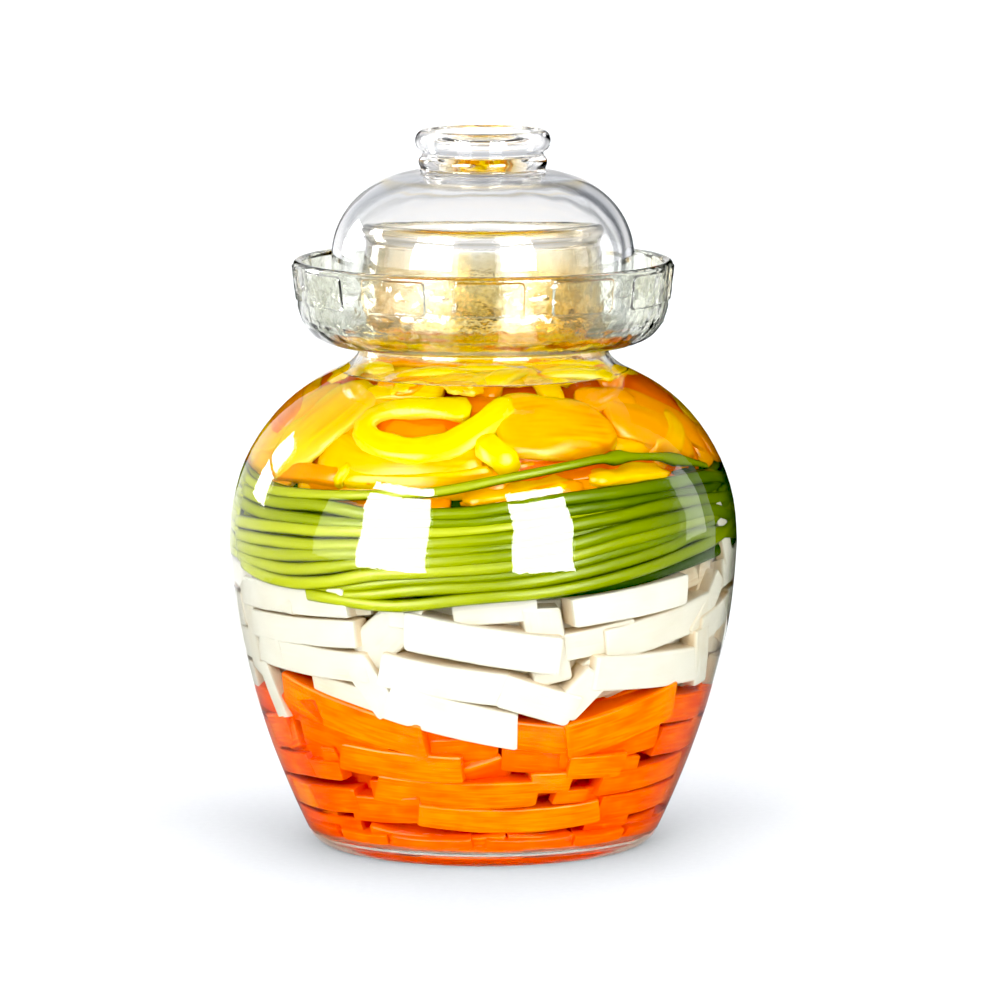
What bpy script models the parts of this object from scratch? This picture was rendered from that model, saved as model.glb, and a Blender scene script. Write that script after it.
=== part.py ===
"""A glass fermentation jar with a water seal, filled in layers with pickled vegetables.

One glass piece makes the belly, the neck and the moat round the neck. The lid
stands in the moat over the mouth. From the bottom up the jar holds carrot
sticks, radish sticks, garlic scapes laid round the wall, and pepper strips.

Sizes are in metres and angles in degrees. The jar stands on z = 0 with its
axis on +Z. An azimuth runs from the front, -Y, towards the right, +X.
"""

import math
import random

import bmesh
import bpy
import numpy as np

# Turned glass
SEGMENTS = 36
WALL = 0.0035
SHARP_ANGLE = 35.0

# Body of the jar, from the foot up to the neck
FOOT_INNER = 0.050
PUNT_DEPTH = 0.002
FLOOR_HEIGHT = 0.006
HEEL_ROUND = 0.007
HEEL_SWEEP = 62.0
BELLY_RADIUS = 0.1052
BELLY_HEIGHT = 0.125
BASE_NARROWING = 0.035
NARROWING_POWER = 1.8
SHOULDER_CENTRE = (0.030, 0.128)
SHOULDER_RISE = 0.0748
SHOULDER_SWEEP = 65.7
NECK_RADIUS = 0.0515
NECK_FOOT = 0.206
CORNER_ROUND = 0.008

# Moat, the water channel round the neck
MOAT_UNDERSIDE = 0.2075
MOAT_FLOOR = 0.212
MOAT_CENTRE = (0.0615, 0.226)
MOAT_BULGE = 0.0151
MOAT_WALL = 0.004
MOAT_RIM_RADIUS = 0.0783
MOAT_RIM_HEIGHT = 0.2397
RIM_ROUND = 0.002
NECK_FILLET = 0.0018

# Raised panels on the moat's wall
PANEL_COUNT = 12
PANEL_FIRST_AZIMUTH = 2.0
PANEL_WIDTH = 21.0
PANEL_BOTTOM = 0.2255
PANEL_TOP = 0.2392
PANEL_RELIEF = 0.0008
PANEL_EDGE = 0.0005
PANEL_CORNER = 0.0012
PANEL_ROOT = 0.0015

# Mouth inside the moat
NECK_WALL = 0.004
NECK_TOP_RADIUS = 0.0482
NECK_TOP = 0.2495
BEAD_CENTRE = (0.0469, 0.254)
BEAD_RADII = (0.0029, 0.0033)

# Lid with its hollow ring knob
LID_RADIUS = 0.0625
LID_GAP = 0.00035
LID_SHOULDER = 0.243
LID_TOP_RADIUS = 0.025
LID_TOP = 0.278
LID_TOP_SWEEP = 88.0
LID_CEILING_RADIUS = 0.022
LID_CEILING = 0.2744
KNOB_FOOT = (0.0265, 0.282)
KNOB_FOOT_ROUND = 0.001
KNOB_WAIST = (0.0245, 0.2853)
KNOB_BEAD_CENTRE = (0.0244, 0.2905)
KNOB_BEAD_RADII = (0.0035, 0.0045)
KNOB_HOLLOW_RADIUS = 0.0205
KNOB_FLOOR = 0.2792
KNOB_FLOOR_ROUND = 0.002

# Layers of vegetables: heights of their tops at the wall, at equal steps of azimuth from the front
FILL_FLOOR = (0.0068,)
CARROT_TOP = (0.056, 0.070, 0.073, 0.066, 0.062, 0.068, 0.064, 0.058, 0.066, 0.065, 0.072, 0.068)
RADISH_TOP = (0.113, 0.115, 0.120, 0.124, 0.120, 0.114, 0.112, 0.116, 0.119, 0.118, 0.117, 0.115)
SCAPE_TOP = (0.153, 0.154, 0.157, 0.160, 0.158, 0.155, 0.153, 0.156, 0.159, 0.158, 0.156, 0.154)
PEPPER_TOP = (0.192, 0.188, 0.191, 0.187, 0.190, 0.188)
LAYER_GAP = 0.0005
CORE_GAP = 0.0025
WALL_GAP = 0.0006
CORE_INSET = 0.008
CORE_COLUMNS = 20

# Cut sticks of carrot and radish
STICK_LENGTH = (0.042, 0.060)
STICK_DEPTH = 0.0145
STICK_ROW = 0.0145
STICK_SPACING = 0.004
STICK_TAPER = 0.12
STICK_TILT = 5.0
FITTING_STEPS = 4

# Garlic scapes
SCAPE_COUNT = 9
SCAPE_COLUMNS = 32
SCAPE_GROOVE = 0.0022
LOOSE_SCAPE_RADIUS = 0.0023
LOOSE_SCAPE_SIDES = 6
LOOSE_SCAPE = (
    (-20.0, 0.1520), (-6.0, 0.1560), (12.0, 0.1585), (30.0, 0.1612),
    (46.0, 0.1630), (60.0, 0.1615), (74.0, 0.1590), (86.0, 0.1570),
)

# Pepper strips
STRIP_LENGTH = (0.036, 0.058)
STRIP_WIDTH = (0.013, 0.018)
STRIP_DEPTH = 0.0055
STRIP_BURIAL = 0.004
STRIP_SEGMENTS = 3
STRIP_ROWS = ((0.1730, 9), (0.1860, 7))
STRIP_TILT = 24.0
STRIP_FOOT = (0.165, 0.168, 0.169, 0.167, 0.165, 0.162, 0.160, 0.163, 0.166, 0.165, 0.163, 0.163)
TOP_STRIPS = ((25.0, 0.018, 40.0), (150.0, 0.024, -15.0), (265.0, 0.020, 75.0), (80.0, 0.030, -60.0))
TOP_STRIP_LENGTH = 0.046

SEED = 7


def clear_scene():
    for thing in list(bpy.data.objects):
        bpy.data.objects.remove(thing)


def material(name, colour, roughness, transmission=0.0):
    made = bpy.data.materials.new(name)
    made.use_nodes = True
    shader = made.node_tree.nodes["Principled BSDF"]
    shader.inputs["Base Color"].default_value = (*colour, 1.0)
    shader.inputs["Roughness"].default_value = roughness
    shader.inputs["Metallic"].default_value = 0.0
    shader.inputs["Transmission Weight"].default_value = transmission
    return made


def add_object(name, vertices, faces):
    mesh = bpy.data.meshes.new(name)
    mesh.from_pydata([tuple(point) for point in vertices], [], faces)
    shape = bmesh.new()
    shape.from_mesh(mesh)
    bmesh.ops.recalc_face_normals(shape, faces=shape.faces)
    shape.to_mesh(mesh)
    shape.free()
    thing = bpy.data.objects.new(name, mesh)
    bpy.context.scene.collection.objects.link(thing)
    return thing


def lathe(name, outline):
    """Turns an outline of (radius, height), which starts and ends on the axis or closes on itself."""
    shape = bmesh.new()
    points = [shape.verts.new((radius, 0.0, height)) for radius, height in outline]
    edges = [shape.edges.new(pair) for pair in zip(points, points[1:])]
    if outline[0][0] > 0:
        edges.append(shape.edges.new((points[-1], points[0])))
    bmesh.ops.spin(
        shape, geom=points + edges, axis=(0, 0, 1), cent=(0, 0, 0),
        angle=math.tau, steps=SEGMENTS, use_merge=True,
    )
    bmesh.ops.remove_doubles(shape, verts=shape.verts, dist=1e-6)
    bmesh.ops.recalc_face_normals(shape, faces=shape.faces)
    mesh = bpy.data.meshes.new(name)
    shape.to_mesh(mesh)
    shape.free()
    thing = bpy.data.objects.new(name, mesh)
    bpy.context.scene.collection.objects.link(thing)
    return thing


def arc(centre, radii, start, end, steps):
    """Points of an ellipse about centre, both ends included. An angle of 0 points outwards and 90 up."""
    angles = np.radians(np.linspace(start, end, steps + 1))
    return [(centre[0] + radii[0] * math.cos(a), centre[1] + radii[1] * math.sin(a)) for a in angles]


def bezier(start, control, end, steps):
    """Points of a quadratic curve after its start, the end included."""
    shares = np.linspace(0, 1, steps + 1)[1:]
    start, control, end = map(np.array, (start, control, end))
    return [tuple((1 - t) ** 2 * start + 2 * t * (1 - t) * control + t * t * end) for t in shares]


def offset_inwards(line, distance):
    """The line, which runs upwards, moved towards the axis by the distance, square to itself."""
    points = np.array(line)
    along = np.gradient(points, axis=0)
    along /= np.linalg.norm(along, axis=1)[:, None]
    inwards = np.stack([-along[:, 1], along[:, 0]], axis=1)
    return [tuple(point) for point in points + inwards * distance]


def narrowing_radius(height):
    """Outer radius of the body below its widest line."""
    share = (BELLY_HEIGHT - height) / BELLY_HEIGHT
    return BELLY_RADIUS - BASE_NARROWING * share ** NARROWING_POWER


def body_line():
    """Outer line of the body, from the end of the heel's round up to the neck."""
    heel_end = HEEL_ROUND * (1 - math.cos(math.radians(HEEL_SWEEP)))
    line = [(narrowing_radius(z), z) for z in np.linspace(heel_end, BELLY_HEIGHT, 6)]
    radii = (BELLY_RADIUS - SHOULDER_CENTRE[0], SHOULDER_RISE)
    line += arc(SHOULDER_CENTRE, radii, 0, SHOULDER_SWEEP, 5)
    sweep = math.radians(SHOULDER_SWEEP)
    slope = radii[1] * math.cos(sweep) / (radii[0] * math.sin(sweep))
    corner = (NECK_RADIUS, line[-1][1] + slope * (line[-1][0] - NECK_RADIUS))
    line += bezier(line[-1], corner, (NECK_RADIUS, NECK_FOOT), 3)
    return line


def inner_line():
    """Inner line of the body, from the floor's corner up to the neck."""
    line = [point for point in offset_inwards(body_line(), WALL) if point[1] > FLOOR_HEIGHT + CORNER_ROUND]
    corner = (line[0][0] - CORNER_ROUND, line[0][1])
    return arc(corner, (CORNER_ROUND, line[0][1] - FLOOR_HEIGHT), -90, 0, 3)[:-1] + line


def moat_line():
    """The moat, from its underside at the neck over the rim to the foot of the mouth."""
    line = [(NECK_RADIUS, MOAT_UNDERSIDE)]
    line += arc(MOAT_CENTRE, (MOAT_BULGE, MOAT_CENTRE[1] - MOAT_UNDERSIDE), -90, 0, 4)
    line += arc((MOAT_RIM_RADIUS - RIM_ROUND, MOAT_RIM_HEIGHT), (RIM_ROUND, RIM_ROUND), 0, 180, 4)
    line += arc(MOAT_CENTRE, (MOAT_BULGE - MOAT_WALL, MOAT_CENTRE[1] - MOAT_FLOOR), 0, -90, 3)
    line += [(NECK_RADIUS + NECK_FILLET, MOAT_FLOOR), (NECK_RADIUS, MOAT_FLOOR + NECK_FILLET)]
    return line


def jar_outline():
    heel_side = body_line()[0][0] - HEEL_ROUND * math.sin(math.radians(HEEL_SWEEP))
    outline = [(0.0, PUNT_DEPTH), (FOOT_INNER - PUNT_DEPTH, PUNT_DEPTH), (FOOT_INNER, 0.0)]
    outline += arc((heel_side, HEEL_ROUND), (HEEL_ROUND, HEEL_ROUND), -90, HEEL_SWEEP - 90, 2)[:-1]
    outline += body_line()
    outline += moat_line()
    outline += [(NECK_TOP_RADIUS, NECK_TOP)]
    outline += arc(BEAD_CENTRE, BEAD_RADII, -45, 180, 5)
    outline += [(NECK_RADIUS - NECK_WALL, MOAT_FLOOR)]
    outline += reversed(inner_line())
    outline += [(0.0, FLOOR_HEIGHT)]
    return outline


def moat_radius(height):
    """Outer radius of the moat's wall between its bulge and its rim."""
    low = (MOAT_CENTRE[1], MOAT_CENTRE[0] + MOAT_BULGE)
    high = (MOAT_RIM_HEIGHT, MOAT_RIM_RADIUS)
    return low[1] + (high[1] - low[1]) * (height - low[0]) / (high[0] - low[0])


def ring_point(azimuth, radius, height):
    angle = math.radians(azimuth)
    return np.array([radius * math.sin(angle), -radius * math.cos(angle), height])


def panel_mesh(azimuth):
    """Vertices and faces of one raised panel with cut corners, rooted in the moat's wall."""
    half = PANEL_WIDTH / 2
    corner = math.degrees(PANEL_CORNER / MOAT_RIM_RADIUS)
    edge = math.degrees(PANEL_EDGE / MOAT_RIM_RADIUS)
    inner = half - corner
    columns = ((-half, 1), (-inner, 0), (-half / 3, 0), (half / 3, 0), (inner, 0), (half, 1))
    vertices = []
    for lift, shrink in ((-PANEL_ROOT, 0.0), (PANEL_RELIEF, 1.0)):
        for turn, cut in columns:
            turn -= math.copysign(edge * shrink, turn)
            for level, sign in ((PANEL_BOTTOM, 1), (PANEL_TOP, -1)):
                height = level + sign * (cut * PANEL_CORNER + shrink * PANEL_EDGE)
                vertices.append(ring_point(azimuth + turn, moat_radius(height) + lift, height))
    count = len(columns)
    root, face = 0, 2 * count
    faces = []
    for column in range(count - 1):
        a, b = 2 * column, 2 * column + 2
        faces.append((root + a, root + a + 1, root + b + 1, root + b))
        faces.append((face + a, face + b, face + b + 1, face + a + 1))
        faces.append((root + a, root + b, face + b, face + a))
        faces.append((root + a + 1, face + a + 1, face + b + 1, root + b + 1))
    for a in (0, 2 * count - 2):
        faces.append((root + a, face + a, face + a + 1, root + a + 1))
    return vertices, faces


def add_panels(jar):
    vertices, faces = [], []
    for index in range(PANEL_COUNT):
        points, sides = panel_mesh(PANEL_FIRST_AZIMUTH + index * 360 / PANEL_COUNT)
        faces += [tuple(len(vertices) + corner for corner in side) for side in sides]
        vertices += points
    panels = add_object("moat_panels", vertices, faces)
    panels.hide_render = True
    panels.display_type = "WIRE"
    union = jar.modifiers.new("panels", "BOOLEAN")
    union.operation = "UNION"
    union.object = panels


def make_jar():
    jar = lathe("jar", jar_outline())
    add_panels(jar)
    return jar


def lid_outline():
    bottom = MOAT_FLOOR + LID_GAP
    half_wall = WALL / 2
    inner = LID_RADIUS - WALL
    rise = LID_TOP - LID_SHOULDER
    outline = arc((LID_RADIUS - half_wall, bottom + half_wall), (half_wall, half_wall), 180, 360, 4)
    outline += arc((LID_TOP_RADIUS, LID_SHOULDER), (LID_RADIUS - LID_TOP_RADIUS, rise), 0, LID_TOP_SWEEP, 5)
    foot_radius, foot_height = KNOB_FOOT
    outline += [(foot_radius - KNOB_FOOT_ROUND, LID_TOP + KNOB_FOOT_ROUND)]
    outline += [(foot_radius, foot_height + side * KNOB_FOOT_ROUND) for side in (-1, 1)]
    outline += [KNOB_WAIST]
    outline += arc(KNOB_BEAD_CENTRE, KNOB_BEAD_RADII, -45, 180, 5)
    outline += [(KNOB_HOLLOW_RADIUS, KNOB_FLOOR + KNOB_FLOOR_ROUND)]
    outline += [(KNOB_HOLLOW_RADIUS - KNOB_FLOOR_ROUND, KNOB_FLOOR)]
    outline += [(0.0, KNOB_FLOOR), (0.0, LID_CEILING)]
    ceiling = (inner - LID_CEILING_RADIUS, LID_CEILING - LID_SHOULDER)
    outline += arc((LID_CEILING_RADIUS, LID_SHOULDER), ceiling, 90, 0, 5)
    return outline


def make_lid():
    """The outline crosses the axis between the knob's floor and the lid's ceiling, so it is cut there."""
    outline = lid_outline()
    cut = next(i for i, point in enumerate(outline) if point[0] == 0.0) + 1
    return lathe("lid", outline[cut:] + outline[:cut])


def level(heights, azimuth):
    """Height at an azimuth, eased between heights that stand at equal steps from the front."""
    step = 360 / len(heights)
    index, part = divmod(azimuth % 360, step)
    low = heights[int(index)]
    high = heights[(int(index) + 1) % len(heights)]
    return low + (high - low) * (1 - math.cos(math.pi * part / step)) / 2


def inner_radius(height):
    """Distance from the axis to the flats of the jar's inner wall."""
    radii, heights = zip(*inner_line())
    return float(np.interp(height, heights, radii)) * math.cos(math.pi / SEGMENTS)


def wall_slope(height):
    """Lean of the inner wall out of the vertical, positive where it widens upwards."""
    step = 0.002
    return math.atan2(inner_radius(height + step) - inner_radius(height - step), 2 * step)


def azimuth_of(point):
    return math.degrees(math.atan2(point[0], -point[1]))


def closed_rings(name, rings, bottom, top):
    """A solid through rings of points, listed from the bottom up, with a point that closes each end."""
    count = len(rings[0])
    vertices = [bottom] + [point for ring in rings for point in ring] + [top]
    last = len(vertices) - 1
    faces = []
    for side in range(count):
        after = (side + 1) % count
        faces.append((0, 1 + after, 1 + side))
        for row in range(len(rings) - 1):
            low, high = 1 + row * count, 1 + (row + 1) * count
            faces.append((low + side, low + after, high + after))
            faces.append((low + side, high + after, high + side))
        faces.append((last - count + side, last - count + after, last))
    return add_object(name, vertices, faces)


def layer_solid(name, bottom, top, gap, wall_rows, columns):
    """A layer through the jar. wall_rows gives (share of the height, distance to the wall), upwards."""
    azimuths = [360 * column / columns for column in range(columns)]
    low_centre = float(np.mean(bottom)) + gap
    high_centre = float(np.mean(top)) - gap

    def half_ring(levels, centre, lift, inset):
        ring = []
        for azimuth in azimuths:
            rim = level(levels, azimuth) + lift
            ring.append(ring_point(azimuth, (inner_radius(rim) - inset) / 2, (centre + rim) / 2))
        return ring

    rings = [half_ring(bottom, low_centre, gap, wall_rows[0][1])]
    for share, inset in wall_rows:
        ring = []
        for azimuth in azimuths:
            low = level(bottom, azimuth) + gap
            high = level(top, azimuth) - gap
            height = low + (high - low) * share
            ring.append(ring_point(azimuth, inner_radius(height) - inset, height))
        rings.append(ring)
    rings.append(half_ring(top, high_centre, -gap, wall_rows[-1][1]))
    return closed_rings(name, rings, (0.0, 0.0, low_centre), (0.0, 0.0, high_centre))


def fit_to_layer(points, edges, bottom, top):
    """Holds a straight piece between two layers' levels and clear of the jar's wall.

    edges gives the ends of its low and its high long edges, by their places among the points.
    """
    shares = np.linspace(0, 1, 7)
    for pairs, levels, sign in ((edges[0], bottom, 1), (edges[1], top, -1)):
        lacking = []
        for start, end in pairs:
            for share in shares:
                place = points[start] + share * (points[end] - points[start])
                lacking.append(sign * (level(levels, azimuth_of(place)) - place[2]) + 2 * LAYER_GAP)
        lift = sign * max(0.0, *lacking)
        for corner in {corner for pair in pairs for corner in pair}:
            points[corner][2] += lift
    middle = np.mean(points, axis=0)
    inwards = -np.array([middle[0], middle[1], 0.0]) / math.hypot(middle[0], middle[1])
    for _ in range(FITTING_STEPS):
        excess = max(math.hypot(p[0], p[1]) - inner_radius(p[2]) + WALL_GAP for p in points)
        points = [point + inwards * excess for point in points]
    return points


def wall_axes(azimuth, height, tilt):
    """Directions on the wall: along and across a piece that lies tilted on it, and outwards."""
    angle, slope, lean = math.radians(azimuth), wall_slope(height), math.radians(tilt)
    outwards = np.array([math.sin(angle), -math.cos(angle), 0.0])
    sideways = np.array([math.cos(angle), math.sin(angle), 0.0])
    upwards = np.array([0.0, 0.0, 1.0])
    up_wall = math.cos(slope) * upwards + math.sin(slope) * outwards
    normal = math.cos(slope) * outwards - math.sin(slope) * upwards
    along = math.cos(lean) * sideways + math.sin(lean) * up_wall
    across = math.cos(lean) * up_wall - math.sin(lean) * sideways
    return along, across, normal


def stick(name, azimuth, height, tilt, length, width, bottom, top, draw):
    """One hand-cut stick that lies flat against the wall, as a straight box with slightly uneven ends."""
    along, across, normal = wall_axes(azimuth, height, tilt)
    centre = ring_point(azimuth, inner_radius(height), height)
    points = []
    for end in (-0.5, 0.5):
        thin = 1 - draw.uniform(0, STICK_TAPER)
        for side, depth in ((-0.5, 0), (0.5, 0), (0.5, 1), (-0.5, 1)):
            flat = end * length * along + side * width * thin * across
            points.append(centre + flat - depth * STICK_DEPTH * thin * normal)
    low_edges, high_edges = ((0, 4), (3, 7)), ((1, 5), (2, 6))
    points = fit_to_layer(points, (low_edges, high_edges), bottom, top)
    if points[1][2] - points[0][2] < STICK_ROW / 2 or points[5][2] - points[4][2] < STICK_ROW / 2:
        return None
    faces = [(0, 1, 2, 3), (4, 7, 6, 5)]
    faces += [(a, a + 4, (a + 1) % 4 + 4, (a + 1) % 4) for a in range(4)]
    return add_object(name, points, faces)


def row_of_sticks(name, share, bottom, top, draw):
    """Sticks end to end round the wall, at one share of the layer's height."""
    def middle(azimuth):
        low, high = level(bottom, azimuth), level(top, azimuth)
        return low + (high - low) * share

    sticks = []
    azimuth = draw.uniform(0, 30)
    end = azimuth + 360
    while azimuth < end:
        length = draw.uniform(*STICK_LENGTH)
        radius = inner_radius(middle(azimuth))
        turn = math.degrees((length + STICK_SPACING) / radius)
        if azimuth + turn > end:
            length *= (end - azimuth) / turn
            turn = end - azimuth
        place = azimuth + turn / 2
        rise = middle(place + turn / 2) - middle(place - turn / 2)
        tilt = math.degrees(math.atan2(rise, length)) + draw.uniform(-STICK_TILT, STICK_TILT)
        if length > STICK_LENGTH[0] / 2:
            title = f"{name}_{len(sticks)}"
            size = length, STICK_ROW
            sticks.append(stick(title, place, middle(place), tilt, *size, bottom, top, draw))
        azimuth += turn
    return [made for made in sticks if made]


def keep_outer_shell(mesh):
    """Deletes every separate shell but the largest: sealed hollows are filled, loose scraps dropped."""
    shape = bmesh.new()
    shape.from_mesh(mesh)
    left = set(shape.faces)
    shells = []
    while left:
        shell, edge = set(), [left.pop()]
        while edge:
            face = edge.pop()
            shell.add(face)
            near = {other for side in face.edges for other in side.link_faces} & left
            left -= near
            edge.extend(near)
        shells.append(shell)
    largest = max(shells, key=lambda shell: sum(face.calc_area() for face in shell))
    spare = [face for shell in shells if shell is not largest for face in shell]
    bmesh.ops.delete(shape, geom=spare, context="FACES")
    shape.to_mesh(mesh)
    shape.free()


def fuse(core, pieces):
    """Joins the pieces to the core by one Boolean union."""
    group = bpy.data.collections.new("pieces")
    bpy.context.scene.collection.children.link(group)
    for piece in pieces:
        bpy.context.scene.collection.objects.unlink(piece)
        group.objects.link(piece)
    union = core.modifiers.new("union", "BOOLEAN")
    union.operation = "UNION"
    union.operand_type = "COLLECTION"
    union.collection = group
    graph = bpy.context.evaluated_depsgraph_get()
    joined = bpy.data.meshes.new_from_object(core.evaluated_get(graph))
    core.modifiers.remove(union)
    core.data = joined
    keep_outer_shell(joined)
    for piece in pieces:
        bpy.data.objects.remove(piece)
    bpy.data.collections.remove(group)
    return core


def make_stick_layer(name, bottom, top, draw):
    wall_rows = [(share, CORE_INSET) for share in (0.0, 0.5, 1.0)]
    core = layer_solid(name, bottom, top, CORE_GAP, wall_rows, CORE_COLUMNS)
    rows = round((np.mean(top) - np.mean(bottom)) / STICK_ROW)
    pieces = []
    for row in range(rows):
        share = (row + 0.5) / rows
        pieces += row_of_sticks(f"{name}_{row}", share, bottom, top, draw)
    return fuse(core, pieces)


def loose_scape():
    """One scape that leaves the bundle and crosses the front of the peppers, as a tube along the wall."""
    stations = []
    for azimuth, height in LOOSE_SCAPE:
        clear = inner_radius(height + LOOSE_SCAPE_RADIUS) - WALL_GAP - 1.2 * LOOSE_SCAPE_RADIUS
        stations.append(ring_point(azimuth, clear, height))
    along = np.gradient(np.array(stations), axis=0)
    rings = []
    for station, azimuth, direction in zip(stations, [place[0] for place in LOOSE_SCAPE], along):
        outwards = ring_point(azimuth, 1.0, 0.0)
        across = np.cross(direction, outwards)
        across /= np.linalg.norm(across)
        ring = []
        for side in range(LOOSE_SCAPE_SIDES):
            angle = math.tau * side / LOOSE_SCAPE_SIDES
            spoke = math.cos(angle) * outwards + math.sin(angle) * across
            ring.append(station + LOOSE_SCAPE_RADIUS * spoke)
        rings.append(ring)
    return closed_rings("loose_scape", rings, stations[0], stations[-1])


def make_scapes():
    """The scapes lie round the wall one above another, so the layer's side is a row of ridges."""
    wall_rows = [(0.0, CORE_INSET)]
    for scape in range(SCAPE_COUNT):
        if scape > 0:
            wall_rows.append((scape / SCAPE_COUNT, WALL_GAP + SCAPE_GROOVE))
        wall_rows += [((scape + part) / SCAPE_COUNT, WALL_GAP) for part in (0.25, 0.75)]
    wall_rows.append((1.0, CORE_INSET))
    core = layer_solid("garlic_scapes", RADISH_TOP, SCAPE_TOP, LAYER_GAP, wall_rows, SCAPE_COLUMNS)
    return fuse(core, [loose_scape()])


def strip(name, azimuth, height, tilt, length, width, bottom, top):
    """A strip of pepper that bends with the wall, with one row of corners along each long side."""
    slope = wall_slope(height)
    lean = math.radians(tilt)
    points = []
    for share in np.linspace(-0.5, 0.5, STRIP_SEGMENTS + 1):
        for side in (-0.5, 0.5):
            run, rise = share * length, side * width
            turn = (run * math.cos(lean) - rise * math.sin(lean)) / inner_radius(height)
            place = azimuth + math.degrees(turn)
            z = height + (run * math.sin(lean) + rise * math.cos(lean)) * math.cos(slope)
            z = min(max(z, level(bottom, place) + 2 * LAYER_GAP), level(top, place) - 2 * LAYER_GAP)
            outside = ring_point(place, inner_radius(z) - WALL_GAP, z)
            normal = wall_axes(place, z, 0.0)[2]
            points += [outside, outside - (STRIP_DEPTH + STRIP_BURIAL) * normal]
    faces = [(0, 1, 3, 2)]
    for segment in range(STRIP_SEGMENTS):
        a, b = 4 * segment, 4 * segment + 4
        faces += [(a, b, b + 1, a + 1), (a + 1, b + 1, b + 3, a + 3)]
        faces += [(a + 3, b + 3, b + 2, a + 2), (a + 2, b + 2, b, a)]
    last = 4 * STRIP_SEGMENTS
    faces.append((last, last + 2, last + 3, last + 1))
    return add_object(name, points, faces)


def top_strip(name, azimuth, radius, turn):
    """A strip that lies level on the top of the peppers, half sunk in their core."""
    angle = math.radians(turn)
    along = np.array([math.cos(angle), math.sin(angle), 0.0]) * TOP_STRIP_LENGTH / 2
    across = np.array([-math.sin(angle), math.cos(angle), 0.0]) * STRIP_WIDTH[0] / 2
    centre = ring_point(azimuth, radius, float(np.mean(PEPPER_TOP)) - CORE_GAP)
    lift = np.array([0.0, 0.0, STRIP_DEPTH])
    points = [centre + a * along + b * across + c * lift for a in (-1, 1) for b in (-1, 1) for c in (-1, 1)]
    faces = [(0, 1, 3, 2), (4, 6, 7, 5), (0, 4, 5, 1), (2, 3, 7, 6), (0, 2, 6, 4), (1, 5, 7, 3)]
    return add_object(name, points, faces)


def make_peppers(draw):
    wall_rows = [(share, CORE_INSET) for share in (0.0, 0.25, 0.5, 0.75, 1.0)]
    core = layer_solid("pepper_strips", SCAPE_TOP, PEPPER_TOP, CORE_GAP, wall_rows, CORE_COLUMNS)
    pieces = [top_strip(f"top_strip_{turn}", azimuth, radius, turn) for azimuth, radius, turn in TOP_STRIPS]
    for height, count in STRIP_ROWS:
        start = draw.uniform(0, 360)
        for index in range(count):
            azimuth = start + 360 * index / count + draw.uniform(-6, 6)
            tilt = draw.uniform(-STRIP_TILT, STRIP_TILT)
            size = draw.uniform(*STRIP_LENGTH), draw.uniform(*STRIP_WIDTH)
            name = f"strip_{len(pieces)}"
            pieces.append(strip(name, azimuth, height, tilt, *size, STRIP_FOOT, PEPPER_TOP))
    return fuse(core, pieces)


def dress(thing, look):
    thing.data.materials.clear()
    thing.data.materials.append(look)


def main():
    clear_scene()
    draw = random.Random(SEED)
    jar, lid = make_jar(), make_lid()
    carrots = make_stick_layer("carrot_sticks", FILL_FLOOR, CARROT_TOP, draw)
    radish = make_stick_layer("radish_sticks", CARROT_TOP, RADISH_TOP, draw)
    scapes, peppers = make_scapes(), make_peppers(draw)
    glass = material("clear_glass", (0.93, 0.96, 0.94), 0.03, transmission=1.0)
    dress(jar, glass)
    dress(lid, glass)
    dress(carrots, material("carrot", (0.90, 0.22, 0.01), 0.35))
    dress(radish, material("white_radish", (0.88, 0.84, 0.74), 0.35))
    dress(scapes, material("garlic_scape", (0.36, 0.50, 0.03), 0.40))
    dress(peppers, material("yellow_pepper", (0.95, 0.55, 0.01), 0.30))
    for thing in (jar, lid, scapes):
        thing.data.shade_smooth()
        thing.data.set_sharp_from_angle(angle=math.radians(SHARP_ANGLE))


main()
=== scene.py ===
import math
import random

import bpy
import numpy as np
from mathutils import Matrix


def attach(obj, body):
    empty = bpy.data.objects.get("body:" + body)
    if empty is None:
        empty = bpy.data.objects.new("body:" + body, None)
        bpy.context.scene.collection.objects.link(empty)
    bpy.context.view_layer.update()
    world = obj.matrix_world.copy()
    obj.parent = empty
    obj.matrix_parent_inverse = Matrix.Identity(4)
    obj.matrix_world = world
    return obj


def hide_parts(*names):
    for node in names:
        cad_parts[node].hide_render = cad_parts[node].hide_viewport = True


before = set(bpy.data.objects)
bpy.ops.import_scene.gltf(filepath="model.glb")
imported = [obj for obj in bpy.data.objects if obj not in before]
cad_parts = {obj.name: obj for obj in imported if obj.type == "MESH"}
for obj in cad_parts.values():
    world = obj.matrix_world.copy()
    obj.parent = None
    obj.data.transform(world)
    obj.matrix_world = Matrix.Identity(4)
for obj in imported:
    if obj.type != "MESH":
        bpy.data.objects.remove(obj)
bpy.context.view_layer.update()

MM = 0.001

# Sizes of the glass, repeated from the part's source (metres, degrees)
WALL = 0.0035
FOOT_INNER = 0.05
PUNT_DEPTH = 0.002
FLOOR_HEIGHT = 0.006
HEEL_ROUND = 0.007
HEEL_SWEEP = 62.0
BELLY_RADIUS = 0.1052
BELLY_HEIGHT = 0.125
BASE_NARROWING = 0.035
NARROWING_POWER = 1.8
SHOULDER_CENTRE = (0.03, 0.128)
SHOULDER_RISE = 0.0748
SHOULDER_SWEEP = 65.7
NECK_RADIUS = 0.0515
NECK_FOOT = 0.206
CORNER_ROUND = 0.008
MOAT_UNDERSIDE = 0.2075
MOAT_FLOOR = 0.212
MOAT_CENTRE = (0.0615, 0.226)
MOAT_BULGE = 0.0151
MOAT_WALL = 0.004
MOAT_RIM_RADIUS = 0.0783
MOAT_RIM_HEIGHT = 0.2397
RIM_ROUND = 0.002
NECK_FILLET = 0.0018
PANEL_COUNT = 12
PANEL_PITCH = 360 / PANEL_COUNT
PANEL_FIRST_AZIMUTH = 2.0
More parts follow.
